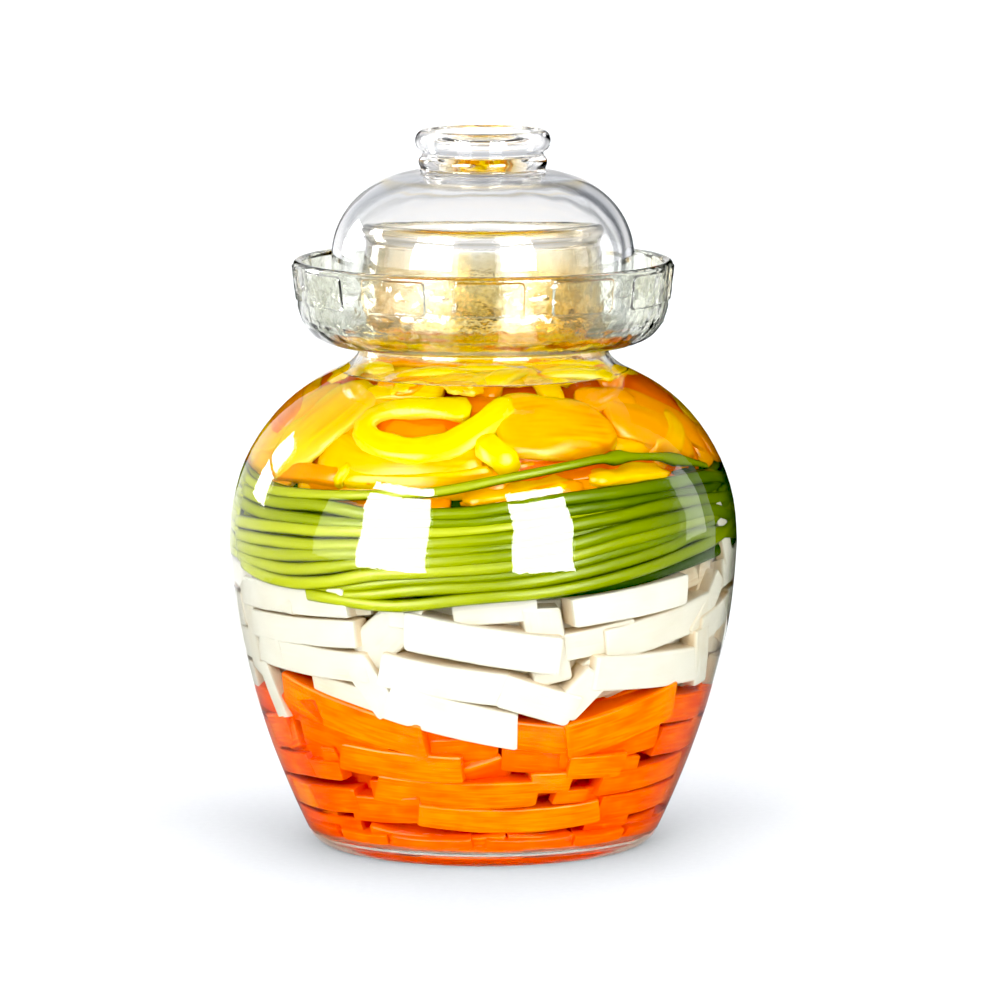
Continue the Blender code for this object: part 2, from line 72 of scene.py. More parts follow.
PANEL_WIDTH = 21.0
PANEL_BOTTOM = 0.2255
PANEL_TOP = 0.2392
PANEL_RELIEF = 0.0008
PANEL_EDGE = 0.0005
PANEL_CORNER = 0.0016
BAR_RELIEF = 0.0005
BAR_HALF = (0.0042, 0.0009)
BAR_CORNER = 0.0005
BAR_DROP = 0.0005
RING_HEIGHTS = (0.2222, 0.2165)
RING_RELIEF = 0.0003
RING_WIDTH = 0.0006
NECK_WALL = 0.004
NECK_TOP_RADIUS = 0.0482
NECK_TOP = 0.2495
BEAD_CENTRE = (0.0469, 0.254)
BEAD_RADII = (0.0029, 0.0033)
LID_RADIUS = 0.0625
LID_GAP = 0.00035
LID_SHOULDER = 0.243
LID_TOP_RADIUS = 0.025
LID_TOP = 0.278
LID_TOP_SWEEP = 88.0
LID_CEILING_RADIUS = 0.022
LID_CEILING = 0.2744
KNOB_FOOT = (0.0265, 0.282)
KNOB_FOOT_ROUND = 0.001
KNOB_WAIST = (0.0245, 0.2853)
KNOB_BEAD_CENTRE = (0.0244, 0.2905)
KNOB_BEAD_RADII = (0.0035, 0.0045)
KNOB_HOLLOW_RADIUS = 0.0205
KNOB_FLOOR = 0.2792
KNOB_FLOOR_ROUND = 0.002
JAR_CORNERS = 0.0016
LID_CORNERS = 0.0014

# Levels of the layers at the wall, at equal steps of azimuth from the front
FILL_FLOOR = (0.0068,)
CARROT_TOP = (0.056, 0.07, 0.073, 0.066, 0.062, 0.068, 0.064, 0.058, 0.066, 0.065, 0.072, 0.068)
RADISH_TOP = (0.113, 0.115, 0.12, 0.124, 0.12, 0.114, 0.112, 0.116, 0.119, 0.118, 0.117, 0.115)
SCAPE_TOP = (0.153, 0.154, 0.157, 0.16, 0.158, 0.155, 0.153, 0.156, 0.159, 0.158, 0.156, 0.154)
PEPPER_TOP = (0.192, 0.188, 0.191, 0.187, 0.19, 0.188)
WALL_GAP = 0.0006

# Brine
BRINE_LEVEL = 0.193
BRINE_REACH = 0.0016
MENISCUS_RISE = 0.0022
MENISCUS_WIDTH = 0.0016
WET_FROM = 0.0052
WET_REACH = 0.0008

# Where the jar's glass changes its look: radius of the neck, heights of the moat and the neck
NECK_REACH = 0.053
MOAT_FROM = 0.2072
NECK_FROM = 0.203

SEED = 11

# Rows of the jar's glass, closer together in the moat and the mouth
ROW_GAP = 0.0062
SMOOTH_BEND = 5
CLOSE_GAP = 0.0005
CLOSE_BEND = 9
FINE_ROWS = (0.204, 0.2505)

CORE_COLUMNS = 48
CORE_ROWS = 8
CUT_POWER = 11.0
SHARP_ANGLE = 22
INNER_SCAPES = 11
TOP_STRIPS = 62
STRIP_HEIGHT = 0.188
STRIP_REACH = 0.056
STRIP_LIMIT = 0.06
SHEET_DEPTH = 0.0046
SHEET_CROWN = 0.0012
SHEET_SIDES = 22
SHEET_CEILING = 0.1955

CAMERA_ELEVATION = 7.8
CAMERA_DISTANCE = 2.6
CAMERA_TARGET = (0.007, 0.0, 0.1413)
FRAME_WIDTH = 0.4142
SENSOR_WIDTH = 36.0
FLOOR_REACH = 16.0
FLOOR_SIDES = 96
FLAG_COLUMNS = 6
WINDOW = 58.0
BLACK = 0.034
WHITE = (1.0, 1.0, 1.0)


# Meshes

def unit(rows):
    rows = np.asarray(rows, float)
    return rows / np.linalg.norm(rows, axis=-1)[..., None]


def linked(name, data):
    thing = bpy.data.objects.new(name, data)
    bpy.context.scene.collection.objects.link(thing)
    return thing


def mesh_of(name, vertices, faces, material=None, smooth=True):
    mesh = bpy.data.meshes.new(name)
    mesh.from_pydata(np.asarray(vertices, float).tolist(), [], faces)
    mesh.polygons.foreach_set("use_smooth", [smooth] * len(faces))
    if material:
        mesh.materials.append(material)
    return mesh


def add_layer(mesh, name, values):
    """Keeps a number or a vector at each point, which the material reads."""
    values = np.array(values, np.float32)
    kind, slot = ("FLOAT_VECTOR", "vector") if values.ndim == 2 else ("FLOAT", "value")
    mesh.attributes.new(name, kind, "POINT").data.foreach_set(slot, values.ravel())


def on_circle(azimuth, radius, height):
    """A point by its azimuth in degrees, which goes from the front to the right."""
    angle = math.radians(azimuth)
    return radius * math.sin(angle), -radius * math.cos(angle), height


def ring_faces(rings, columns):
    """Faces between rings of points, with one point before the first ring and one after the last."""
    last = 1 + rings * columns
    faces = []
    for i in range(columns):
        j = (i + 1) % columns
        faces += [(0, 1 + j, 1 + i), (last, last - columns + i, last - columns + j)]
        for low in range(1, last - columns, columns):
            faces.append((low + i, low + j, low + columns + j, low + columns + i))
    return faces


# Turned glass

def arc(centre, radii, start, end, steps):
    angles = np.radians(np.linspace(start, end, steps + 1))
    return [(centre[0] + radii[0] * math.cos(a), centre[1] + radii[1] * math.sin(a)) for a in angles]


def bezier(start, control, end, steps):
    shares = np.linspace(0, 1, steps + 1)[1:]
    start, control, end = map(np.array, (start, control, end))
    return [tuple((1 - t) ** 2 * start + 2 * t * (1 - t) * control + t * t * end) for t in shares]


def offset_inwards(line, distance):
    points = np.array(line)
    along = np.gradient(points, axis=0)
    along /= np.linalg.norm(along, axis=1)[:, None]
    inwards = np.stack([-along[:, 1], along[:, 0]], axis=1)
    return [tuple(point) for point in points + inwards * distance]


def rounded(outline, radius, steps=4, least=12.0):
    """The outline with each corner sharper than the least angle turned into a small curve."""
    points = [np.array(point) for point in outline]
    made = [points[0]]
    for before, corner, after in zip(points, points[1:], points[2:]):
        back, on = before - corner, after - corner
        sides = np.linalg.norm(back), np.linalg.norm(on)
        if min(sides) < 1e-7:
            continue
        turn = 180 - math.degrees(math.acos(np.clip(back @ on / (sides[0] * sides[1]), -1, 1)))
        if turn < least:
            made.append(corner)
            continue
        start = corner + back * min(radius / sides[0], 0.45)
        end = corner + on * min(radius / sides[1], 0.45)
        made.append(start)
        made += [np.array(point) for point in bezier(start, corner, end, steps)]
    made.append(points[-1])
    return [tuple(point) for point in made]


def body_line():
    """Outer line of the body, from the end of the heel's round up to the neck."""
    heel_end = HEEL_ROUND * (1 - math.cos(math.radians(HEEL_SWEEP)))
    line = []
    for z in np.linspace(heel_end, BELLY_HEIGHT, 44):
        share = (BELLY_HEIGHT - z) / BELLY_HEIGHT
        line.append((BELLY_RADIUS - BASE_NARROWING * share ** NARROWING_POWER, z))
    radii = (BELLY_RADIUS - SHOULDER_CENTRE[0], SHOULDER_RISE)
    line += arc(SHOULDER_CENTRE, radii, 0, SHOULDER_SWEEP, 30)
    sweep = math.radians(SHOULDER_SWEEP)
    slope = radii[1] * math.cos(sweep) / (radii[0] * math.sin(sweep))
    corner = (NECK_RADIUS, line[-1][1] + slope * (line[-1][0] - NECK_RADIUS))
    line += bezier(line[-1], corner, (NECK_RADIUS, NECK_FOOT), 12)
    return line


def inner_line(depth=WALL):
    """A line inside the body's wall, at the depth under its outer face, with the floor's round corner."""
    lift = FLOOR_HEIGHT - (WALL - depth)
    line = [point for point in offset_inwards(body_line(), depth) if point[1] > lift + CORNER_ROUND]
    corner = (line[0][0] - CORNER_ROUND, line[0][1])
    return arc(corner, (CORNER_ROUND, line[0][1] - lift), -90, 0, 10)[:-1] + line


def moat_line():
    """The moat, from its underside at the neck over the rim to the foot of the mouth."""
    rise = MOAT_CENTRE[1] - MOAT_UNDERSIDE
    line = [(NECK_RADIUS, MOAT_UNDERSIDE)]
    outside = arc(MOAT_CENTRE, (MOAT_BULGE, rise), -90, 0, 26)
    line += [point for point in outside if point[1] < PANEL_BOTTOM - 2 * PANEL_EDGE]
    rows = [PANEL_BOTTOM + step * PANEL_EDGE for step in (-2, -1, -0.5, 0, 0.5, 1, 2, 3.5)]
    rows += list(np.linspace(PANEL_BOTTOM + 5 * PANEL_EDGE, PANEL_TOP - 5 * PANEL_EDGE, 14))
    rows += [PANEL_TOP + step * PANEL_EDGE for step in (-3.5, -2, -1, -0.5, 0, 0.5)]
    top = MOAT_CENTRE[0] + MOAT_BULGE
    for z in rows:
        share = (z - MOAT_CENTRE[1]) / (MOAT_RIM_HEIGHT - MOAT_CENTRE[1])
        if share > 0:
            line.append((top + (MOAT_RIM_RADIUS - top) * share, z))
        else:
            sweep = math.asin((z - MOAT_CENTRE[1]) / rise)
            line.append((MOAT_CENTRE[0] + MOAT_BULGE * math.cos(sweep), z))
    line += arc((MOAT_RIM_RADIUS - RIM_ROUND, MOAT_RIM_HEIGHT), (RIM_ROUND, RIM_ROUND), 5, 180, 12)
    inside = (MOAT_BULGE - MOAT_WALL, MOAT_CENTRE[1] - MOAT_FLOOR)
    line += arc(MOAT_CENTRE, inside, 0, -90, 16)
    line += [(NECK_RADIUS + 2 * NECK_FILLET, MOAT_FLOOR), (NECK_RADIUS, MOAT_FLOOR + 2 * NECK_FILLET)]
    return line


def jar_outline():
    heel_side = body_line()[0][0] - HEEL_ROUND * math.sin(math.radians(HEEL_SWEEP))
    outline = [(0.0, PUNT_DEPTH), (0.02, PUNT_DEPTH), (FOOT_INNER - 0.003, PUNT_DEPTH)]
    outline += [(FOOT_INNER, 0.0), (FOOT_INNER + 0.004, 0.0)]
    outline += arc((heel_side, HEEL_ROUND), (HEEL_ROUND, HEEL_ROUND), -90, HEEL_SWEEP - 90, 8)[:-1]
    outline += body_line()
    outline += moat_line()
    outline += [(NECK_RADIUS - 0.0008, 0.232), (NECK_TOP_RADIUS, NECK_TOP)]
    outline += arc(BEAD_CENTRE, BEAD_RADII, -45, 190, 20)
    outline += [(NECK_TOP_RADIUS - NECK_WALL, NECK_TOP - 0.002), (NECK_RADIUS - NECK_WALL, MOAT_FLOOR)]
    outline += reversed(inner_line())
    outline += [(0.02, FLOOR_HEIGHT), (0.0, FLOOR_HEIGHT)]
    return rounded(outline, JAR_CORNERS)


def lid_outline():
    bottom = MOAT_FLOOR + LID_GAP
    half_wall = WALL / 2
    inner = LID_RADIUS - WALL
    rise = LID_TOP - LID_SHOULDER
    outline = [(0.0, LID_CEILING), (0.012, LID_CEILING)]
    ceiling = (inner - LID_CEILING_RADIUS, LID_CEILING - LID_SHOULDER)
    outline += arc((LID_CEILING_RADIUS, LID_SHOULDER), ceiling, 90, 0, 34)
    outline += [(inner, z) for z in (0.236, 0.228, 0.22)]
    outline += arc((LID_RADIUS - half_wall, bottom + half_wall), (half_wall, half_wall), 180, 360, 12)
    outline += [(LID_RADIUS, z) for z in (0.22, 0.228, 0.236)]
    top = (LID_RADIUS - LID_TOP_RADIUS, rise)
    outline += arc((LID_TOP_RADIUS, LID_SHOULDER), top, 0, LID_TOP_SWEEP, 40)
    foot_radius, foot_height = KNOB_FOOT
    outline += [(foot_radius - KNOB_FOOT_ROUND, LID_TOP + KNOB_FOOT_ROUND)]
    outline += [(foot_radius, foot_height + side * KNOB_FOOT_ROUND) for side in (-1, 1)]
    outline += [KNOB_WAIST]
    outline += arc(KNOB_BEAD_CENTRE, KNOB_BEAD_RADII, -50, 190, 22)
    outline += [(KNOB_HOLLOW_RADIUS, KNOB_FLOOR + 2 * KNOB_FLOOR_ROUND)]
    outline += [(KNOB_HOLLOW_RADIUS - 2 * KNOB_FLOOR_ROUND, KNOB_FLOOR), (0.008, KNOB_FLOOR)]
    outline += [(0.0, KNOB_FLOOR)]
    return rounded(outline, LID_CORNERS)


def thinned(outline):
    """Leaves out points that stand close together where an outline runs smoothly."""
    kept = [outline[0]]
    for point, after in zip(outline[1:-1], outline[2:]):
        before = kept[-1]
        ahead = math.atan2(after[1] - point[1], after[0] - point[0])
        behind = math.atan2(point[1] - before[1], point[0] - before[0])
        bend = abs(math.degrees(math.remainder(ahead - behind, math.tau)))
        reach = math.dist(before, after)
        plain = not FINE_ROWS[0] < point[1] < FINE_ROWS[1]
        if reach < CLOSE_GAP and bend < CLOSE_BEND or plain and reach < ROW_GAP and bend < SMOOTH_BEND:
            continue
        kept.append(point)
    return kept + [outline[-1]]


def turned(name, outline, azimuths, relief=None, marks=None):
    """Turns an outline that runs from axis to axis, with exact normals.

    relief adds to the radius, and marks gives each point a value from 0 to 1 for the material.
    """
    line = np.array(outline)
    phi = np.radians(azimuths)
    rows, count = len(line), len(phi)
    around = np.repeat(phi[None], rows, axis=0)
    radius = np.repeat(line[:, :1], count, axis=1)
    height = np.repeat(line[:, 1:], count, axis=1)
    if relief:
        radius = radius + relief(around, height, line)
    length = np.concatenate([[0], np.cumsum(np.linalg.norm(np.diff(line, axis=0), axis=1))])
    rise = np.gradient(height, length, axis=0)
    spread = np.gradient(radius, length, axis=0)
    wide = np.concatenate([radius[:, -2:], radius, radius[:, :2]], axis=1)
    turns = np.concatenate([phi[-2:] - math.tau, phi, phi[:2] + math.tau])
    swell = np.gradient(wide, turns, axis=1)[:, 2:-2]
    out = np.stack([np.sin(phi), -np.cos(phi), 0 * phi], axis=1)
    side = np.stack([np.cos(phi), np.sin(phi), 0 * phi], axis=1)
    up = np.array([0.0, 0.0, 1.0])
    normals = (radius * rise)[..., None] * out - (swell * rise)[..., None] * side
    normals = normals - (radius * spread)[..., None] * up
    points = radius[..., None] * out + height[..., None] * up
    first, last = line[0, 1] * up, line[-1, 1] * up
    mesh = mesh_of(name, np.vstack([first, points[1:-1].reshape(-1, 3), last]), ring_faces(rows - 2, count))
    normals = unit(np.vstack([-up, normals[1:-1].reshape(-1, 3), up]))
    mesh.normals_split_custom_set_from_vertices(normals.tolist())
    if marks:
        add_layer(mesh, "mark", [0.0, *marks(around, height, line)[1:-1].ravel(), 0.0])
    return linked(name, mesh)


def wetted(mesh, wet):
    """Gives the second material to the faces whose middle is wet, by its radius and height."""
    for face in mesh.polygons:
        x, y, z = face.center
        face.material_index = int(wet(math.hypot(x, y), z))


def panel_azimuths():
    """Columns of the jar, closer together at the raised panels' sides."""
    half = PANEL_WIDTH / 2
    near = [half + step for step in (-0.8, -0.37, -0.12, 0.12, 0.37, 0.8)]
    offsets = sorted([-side for side in near] + near + list(np.linspace(-9.0, 9.0, 13)) + [-13.2, 15.0])
    starts = [PANEL_FIRST_AZIMUTH + panel * PANEL_PITCH for panel in range(PANEL_COUNT)]
    return [start + offset for start in starts for offset in offsets]


def smooth_step(value):
    value = np.clip(value, 0, 1)
    return value * value * (3 - 2 * value)


def box_relief(across, up, half_width, half_height, corner, edge):
    """1 inside a rounded rectangle and 0 outside it, with a soft edge."""
    dx = np.abs(across) - half_width + corner
    dy = np.abs(up) - half_height + corner
    outside = np.hypot(np.maximum(dx, 0), np.maximum(dy, 0)) + np.minimum(np.maximum(dx, dy), 0) - corner
    return smooth_step(0.5 - outside / edge)


def ripples(phi, height, waves):
    total = 0 * phi
    for size, turns, rate, start in waves:
        total = total + size * np.sin(turns * phi + rate * height + start)
    return total


# Waves of the uneven surfaces: height, turns round the axis, rate along it and start
HAMMERED = (
    (0.00006, 41, 310.0, 0.3), (0.00005, 57, -520.0, 1.9), (0.00005, 33, 840.0, 4.1),
    (0.00004, 71, 190.0, 2.2), (0.00003, 88, -900.0, 5.0),
)
BLOWN = (
    (0.0001, 3, 21.0, 0.5), (0.00007, 7, -60.0, 2.0), (0.00005, 13, 110.0, 3.4), (0.00003, 23, -240.0, 1.1),
)


def outer_moat(phi, height, line):
    """1 on the outside of the moat, 0 elsewhere, and 1 on the whole outside of the jar."""
    rows = np.arange(len(line))
    top_row = int(np.argmax(line[:, 1] >= MOAT_RIM_HEIGHT - 1e-6))
    outer = (rows <= top_row)[:, None] * np.ones_like(phi)
    return outer * (height > MOAT_UNDERSIDE + 0.002) * (rows[:, None] > 40), outer


def pressed_pattern(phi, height):
    """The raised panels and the bars between them, each from 0 to 1."""
    turn = np.degrees(phi) - PANEL_FIRST_AZIMUTH
    across = np.radians((turn + PANEL_PITCH / 2) % PANEL_PITCH - PANEL_PITCH / 2) * MOAT_RIM_RADIUS
    bar_across = np.radians(turn % PANEL_PITCH - PANEL_PITCH / 2) * MOAT_RIM_RADIUS
    up = height - (PANEL_BOTTOM + PANEL_TOP) / 2
    half = math.radians(PANEL_WIDTH / 2) * MOAT_RIM_RADIUS, (PANEL_TOP - PANEL_BOTTOM) / 2
    return (box_relief(across, up, *half, PANEL_CORNER, PANEL_EDGE),
            box_relief(bar_across, up + BAR_DROP, *BAR_HALF, BAR_CORNER, PANEL_EDGE))


def jar_relief(phi, height, line):
    """Raised panels, the bars between them and the slightly uneven pressed surface, on the outside only."""
    moat, outer = outer_moat(phi, height, line)
    panels, bars = pressed_pattern(phi, height)
    rings = sum(np.exp(-((height - ring) / RING_WIDTH) ** 2) for ring in RING_HEIGHTS)
    relief = moat * (PANEL_RELIEF * panels + BAR_RELIEF * bars + RING_RELIEF * rings)
    relief = relief + moat * (ripples(phi, height, HAMMERED) - 0.0001) * (height < MOAT_RIM_HEIGHT)
    belly = outer * (1 - moat) * smooth_step((height - 0.01) / 0.03)
    calm = 1 - np.exp(-((height - BELLY_HEIGHT) / 0.004) ** 2)
    return relief + belly * calm * (ripples(phi, height, BLOWN) - 0.00025)


def panel_edge_shade(phi, height, line):
    """The edges of the panels and bars, which the material darkens as painted shade."""
    moat, _ = outer_moat(phi, height, line)
    panels, bars = pressed_pattern(phi, height)
    return moat * np.clip(4 * panels * (1 - panels) + 4 * bars * (1 - bars), 0, 1)


def brine_outline():
    wall = [point for point in inner_line(WALL - BRINE_REACH) if point[1] < BRINE_LEVEL + MENISCUS_RISE]
    radius = float(np.interp(BRINE_LEVEL, *INNER_WALL))
    outline = [(0.0, wall[0][1]), (0.02, wall[0][1])] + wall
    surface = []
    for back in (0, 0.3, 0.7, 1.2, 1.9, 2.8, 4.0, 6.0, 9.0):
        reach = radius - back * MM
        surface.append((reach, BRINE_LEVEL + MENISCUS_RISE * math.exp(-back * MM / MENISCUS_WIDTH)))
    return outline + surface + [(reach, BRINE_LEVEL) for reach in (0.045, 0.03, 0.015, 0.0)]


def wall_table():
    radii, heights = zip(*inner_line())
    return np.array(heights), np.array(radii)


INNER_WALL = wall_table()


def inner_radius(height):
    return np.interp(height, *INNER_WALL)


# Places on the wall

def level(heights, azimuth):
    step = 360 / len(heights)
    index, part = divmod(azimuth % 360, step)
    low = heights[int(index)]
    high = heights[(int(index) + 1) % len(heights)]
    return low + (high - low) * (1 - math.cos(math.pi * part / step)) / 2


def wall_slope(height):
    step = 0.002
    return math.atan2(inner_radius(height + step) - inner_radius(height - step), 2 * step)


def wall_frame(azimuth, height):
    """Directions sideways along the wall, up along it and outwards through it."""
    slope = wall_slope(height)
    out = np.array(on_circle(azimuth, 1.0, 0.0))
    sideways = np.array([-out[1], out[0], 0.0])
    upwards = np.array([0.0, 0.0, 1.0])
    up_wall = math.cos(slope) * upwards + math.sin(slope) * out
    normal = math.cos(slope) * out - math.sin(slope) * upwards
    return sideways, up_wall, normal


def wall_point(azimuth, height, inset):
    """A point at the inset under the glass."""
    at_wall = on_circle(azimuth, inner_radius(height) - WALL_GAP, height)
    return np.array(at_wall) - inset * wall_frame(azimuth, height)[2]


# Pieces of food, gathered in one mesh a kind

def ring_shape(sides, power):
    """Points round a ring, which is round at power 2 and nearly square at high powers."""
    angles = np.arange(sides) * math.tau / sides
    return [np.sign(part) * np.abs(part) ** (2 / power) for part in (np.cos(angles), np.sin(angles))]


def near_ends(run, reach):
    """How near each place along a piece is to its end, from 1 at the end to 0 at the reach."""
    return np.clip(1 - np.minimum(run, run[-1] - run) / reach, 0, 1)


def narrowed(run, reach, least):
    """Shares of the full width along a piece that narrows in a round way near both ends."""
    return least + (1 - least) * np.sqrt(1 - near_ends(run, reach) ** 2)


class Pile:
    """Gathers pieces. Each point also keeps its place in its own piece and the piece's tone."""

    def __init__(self, seed):
        self.draw = random.Random(seed)
        self.points, self.faces, self.local, self.tone = [], [], [], []

    def add_tube(self, rings, run, u, v, tone):
        """Adds rings of points joined to a tube, with its ends closed."""
        first = len(self.points)
        self.points += [np.mean(rings[0], axis=0), *np.reshape(rings, (-1, 3)), np.mean(rings[-1], axis=0)]
        local = [(along, a, b) for along in run for a, b in zip(u, v)]
        self.local += [(run[0], 0, 0), *local, (run[-1], 0, 0)]
        self.tone += [tone] * (len(self.points) - first)
        self.faces += [tuple(first + point for point in face) for face in ring_faces(len(run), len(u))]

    def sweep(self, path, outs, half_width, half_depth, power=2.0, sides=12, crown=0.0, ends=0.0,
              tone=None, wobble=0.0, skew=(0.0, 0.0)):
        """A closed bar along a path. outs point to the wall, across which the half depth is laid.

        power 2 gives a round bar and 11 a cut one. crown bends its width away from the wall. ends
        is how far each end narrows, and skew slants each end's cut.
        """
        path, outs = np.array(path, float), unit(outs)
        along = unit(np.gradient(path, axis=0))
        across = unit(np.cross(outs, along))
        outs = np.cross(along, across)
        u, v = ring_shape(sides, power)
        wave = [self.draw.uniform(-1, 1) for _ in range(6)]
        run = np.concatenate([[0], np.cumsum(np.linalg.norm(np.diff(path, axis=0), axis=1))])
        tone = self.draw.random() if tone is None else tone
        shrink = narrowed(run, ends, 0.55) if ends else 1.0
        bump = 1 + wobble * (wave[0] * np.sin(run * 90 + wave[1] * 3) + wave[2] * np.sin(run * 230))
        side = np.outer(half_width * shrink * bump, u)
        deep = np.outer(half_depth * shrink, v) - crown * u ** 2
        slant = np.zeros((len(path), 1))
        slant[:2], slant[-2:] = skew
        rings = path[:, None] + across[:, None] * side[..., None] + outs[:, None] * deep[..., None]
        self.add_tube(rings + along[:, None] * (slant * side)[..., None], run, u, v, tone)

    def build(self, name, material, sharp=None):
        mesh = mesh_of(name, self.points, self.faces, material)
        add_layer(mesh, "local", self.local)
        add_layer(mesh, "tone", self.tone)
        if sharp:
            mesh.set_sharp_from_angle(angle=math.radians(sharp))
        return linked(name, mesh)


def held_in(path, outs, half_width, half_depth, lead=0.0):
    """Moves a piece inwards until its outer corners clear the wall."""
    path = np.array(path, float)
    along = unit(np.gradient(path, axis=0))
    across = unit(np.cross(outs, along))
    middle = path.mean(axis=0)
    inwards = -np.array([middle[0], middle[1], 0.0]) / max(1e-6, math.hypot(middle[0], middle[1]))
    for _ in range(4):
        excess = 0.0
        for side in (-1, 1):
            corner = path + across * side * half_width + np.array(outs) * half_depth
            reach = np.hypot(corner[:, 0], corner[:, 1]) - inner_radius(corner[:, 2]) + WALL_GAP
            excess = max(excess, float(reach.max()))
        path = path + inwards * excess
    return path + inwards * lead


def lay_stick(pile, azimuth, height, tilt, length, width, inset=0.0, depth=None, bend=0.55, tone=None,
              turn=0.0):
    """One cut stick along the wall. turn rolls it about its own length."""
    draw = pile.draw
    depth = depth or width * draw.uniform(0.9, 1.1)
    sideways, up_wall, normal = wall_frame(azimuth, height)
    lean = math.radians(tilt)
    along = math.cos(lean) * sideways + math.sin(lean) * up_wall
    radius = max(0.05, float(inner_radius(height)))
    curve = bend * math.cos(lean) ** 2 / radius
    end, soft = length / 2, min(0.0012, length / 8)
    runs = [-end, -end + soft, *np.linspace(-end, end, 9)[1:-1], end - soft, end]
    centre = wall_point(azimuth, height, depth / 2)
    path = [centre + along * s - normal * curve * s * s / 2 for s in runs]
    outs = [normal + along * curve * s for s in runs]
    roll = math.radians(turn)
    sidewards = np.cross(normal, along)
    outs = [out * math.cos(roll) + sidewards * math.sin(roll) for out in outs]
    half = math.hypot(width, depth) / 2 * abs(math.sin(2 * roll)) if turn else 0
    path = held_in(path, outs, max(width / 2, half), max(depth / 2, half), inset)
    taper = np.linspace(1 - draw.uniform(0, 0.1), 1 - draw.uniform(0, 0.1), len(runs))
    ease = np.ones(len(runs))
    ease[0] = ease[-1] = 0.93
    skew = draw.uniform(-0.25, 0.25), draw.uniform(-0.25, 0.25)
    pile.sweep(path, outs, width / 2 * taper * ease, depth / 2 * taper * ease, power=CUT_POWER, sides=16,
               tone=tone, wobble=0.02, skew=skew)


def fill_ring(pile, start, end, low, high, rows, lengths, width, inset, tones=(0.0, 1.0)):
    """Sticks end to end along the wall between two azimuths, in rows from the low to the high level."""
    draw = pile.draw
    for row in range(rows):
        azimuth = start + draw.uniform(-8, 8)
        while azimuth < end:
            length = draw.uniform(*lengths)
            share = (row + 0.5) / rows

            def middle(place):
                return level(low, place) + (level(high, place) - level(low, place)) * share

            radius = float(inner_radius(middle(azimuth))) - inset
            turn = math.degrees((length + draw.uniform(0.001, 0.004)) / radius)
            place = azimuth + turn / 2
            rise = middle(place + turn / 2) - middle(place - turn / 2)
            tilt = math.degrees(math.atan2(rise, length)) + draw.uniform(-7, 7)
            size = width * draw.uniform(0.85, 1.1)
            lay_stick(pile, place, middle(place) + draw.uniform(-1, 1) * MM, tilt, length, size,
                      inset + draw.uniform(0, 0.002), bend=0.5, tone=draw.uniform(*tones),
                      turn=draw.choice((0, 0, 0, 12, -15)))
            azimuth += turn


def core_mesh(name, bottom, top, inset, material):
    """The plain middle of a layer, which the pieces cover."""
    vertices = [(0.0, 0.0, np.mean(bottom))]
    for share in np.arange(CORE_ROWS + 1) / CORE_ROWS:
        for azimuth in np.arange(CORE_COLUMNS) * 360 / CORE_COLUMNS:
            low, high = level(bottom, azimuth) + MM, level(top, azimuth) - MM
            height = low + (high - low) * share
            vertices.append(on_circle(azimuth, inner_radius(height) - inset, height))
    vertices.append((0.0, 0.0, np.mean(top)))
    return linked(name, mesh_of(name, vertices, ring_faces(CORE_ROWS + 1, CORE_COLUMNS), material))


# Materials

class Value:
    """A node's output. Sums, differences and products of it add nodes."""

    def __init__(self, nodes, socket):
        self.nodes, self.socket = nodes, socket

    def __add__(self, other):
        return self.nodes.maths("ADD", self, other)

    def __sub__(self, other):
        return self.nodes.maths("SUBTRACT", self, other)

    def __rsub__(self, other):
        return self.nodes.maths("SUBTRACT", other, self)

    def __mul__(self, other):
        return self.nodes.maths("MULTIPLY", self, other)

    def limited(self):
        """Keeps it from 0 to 1."""
        self.socket.node.use_clamp = True
        return self


class Nodes:
    """A node tree in the making."""

    def __init__(self, tree):
        self.tree = tree

    def feed(self, value, slot):
        if isinstance(value, Value):
            self.tree.links.new(value.socket, slot)
        else:
            slot.default_value = (*value, 1.0) if slot.type == "RGBA" else value

    def node(self, kind, feeds=None, output=0, **settings):
        """Adds a node with what goes into its slots, and gives one of its outputs."""
        made = self.tree.nodes.new("ShaderNode" + kind)
        for key, value in settings.items():
            setattr(made, key, value)
        for slot, value in (feeds or {}).items():
            self.feed(value, made.inputs[slot])
        return Value(self, made.outputs[output])

    def maths(self, operation, *values):
        return self.node("Math", dict(enumerate(values)), operation=operation)

    def noise(self, scale, vector, detail=2.0, roughness=0.5, distortion=0.0):
        return self.node("TexNoise", {"Scale": scale, "Detail": detail, "Roughness": roughness,
                                      "Distortion": distortion, "Vector": vector}, "Fac")

    def stretched(self, vector, scale):
        return self.node("VectorMath", {0: vector, 1: scale}, operation="MULTIPLY")

    def axes(self, vector):
        return [Value(self, part) for part in self.node("SeparateXYZ", {0: vector}).socket.node.outputs]

    def ramp(self, value, stops):
        made = self.node("ValToRGB", {"Fac": value}, "Color")
        elements = made.socket.node.color_ramp.elements
        while len(elements) < len(stops):
            elements.new(0.5)
        for element, (place, colour) in zip(elements, stops):
            element.position = place
            element.color = (*colour, 1.0)
        return made

    def mix(self, factor, first, second, blend="MIX"):
        return self.node("Mix", {0: factor, 6: first, 7: second}, 2, data_type="RGBA", blend_type=blend)


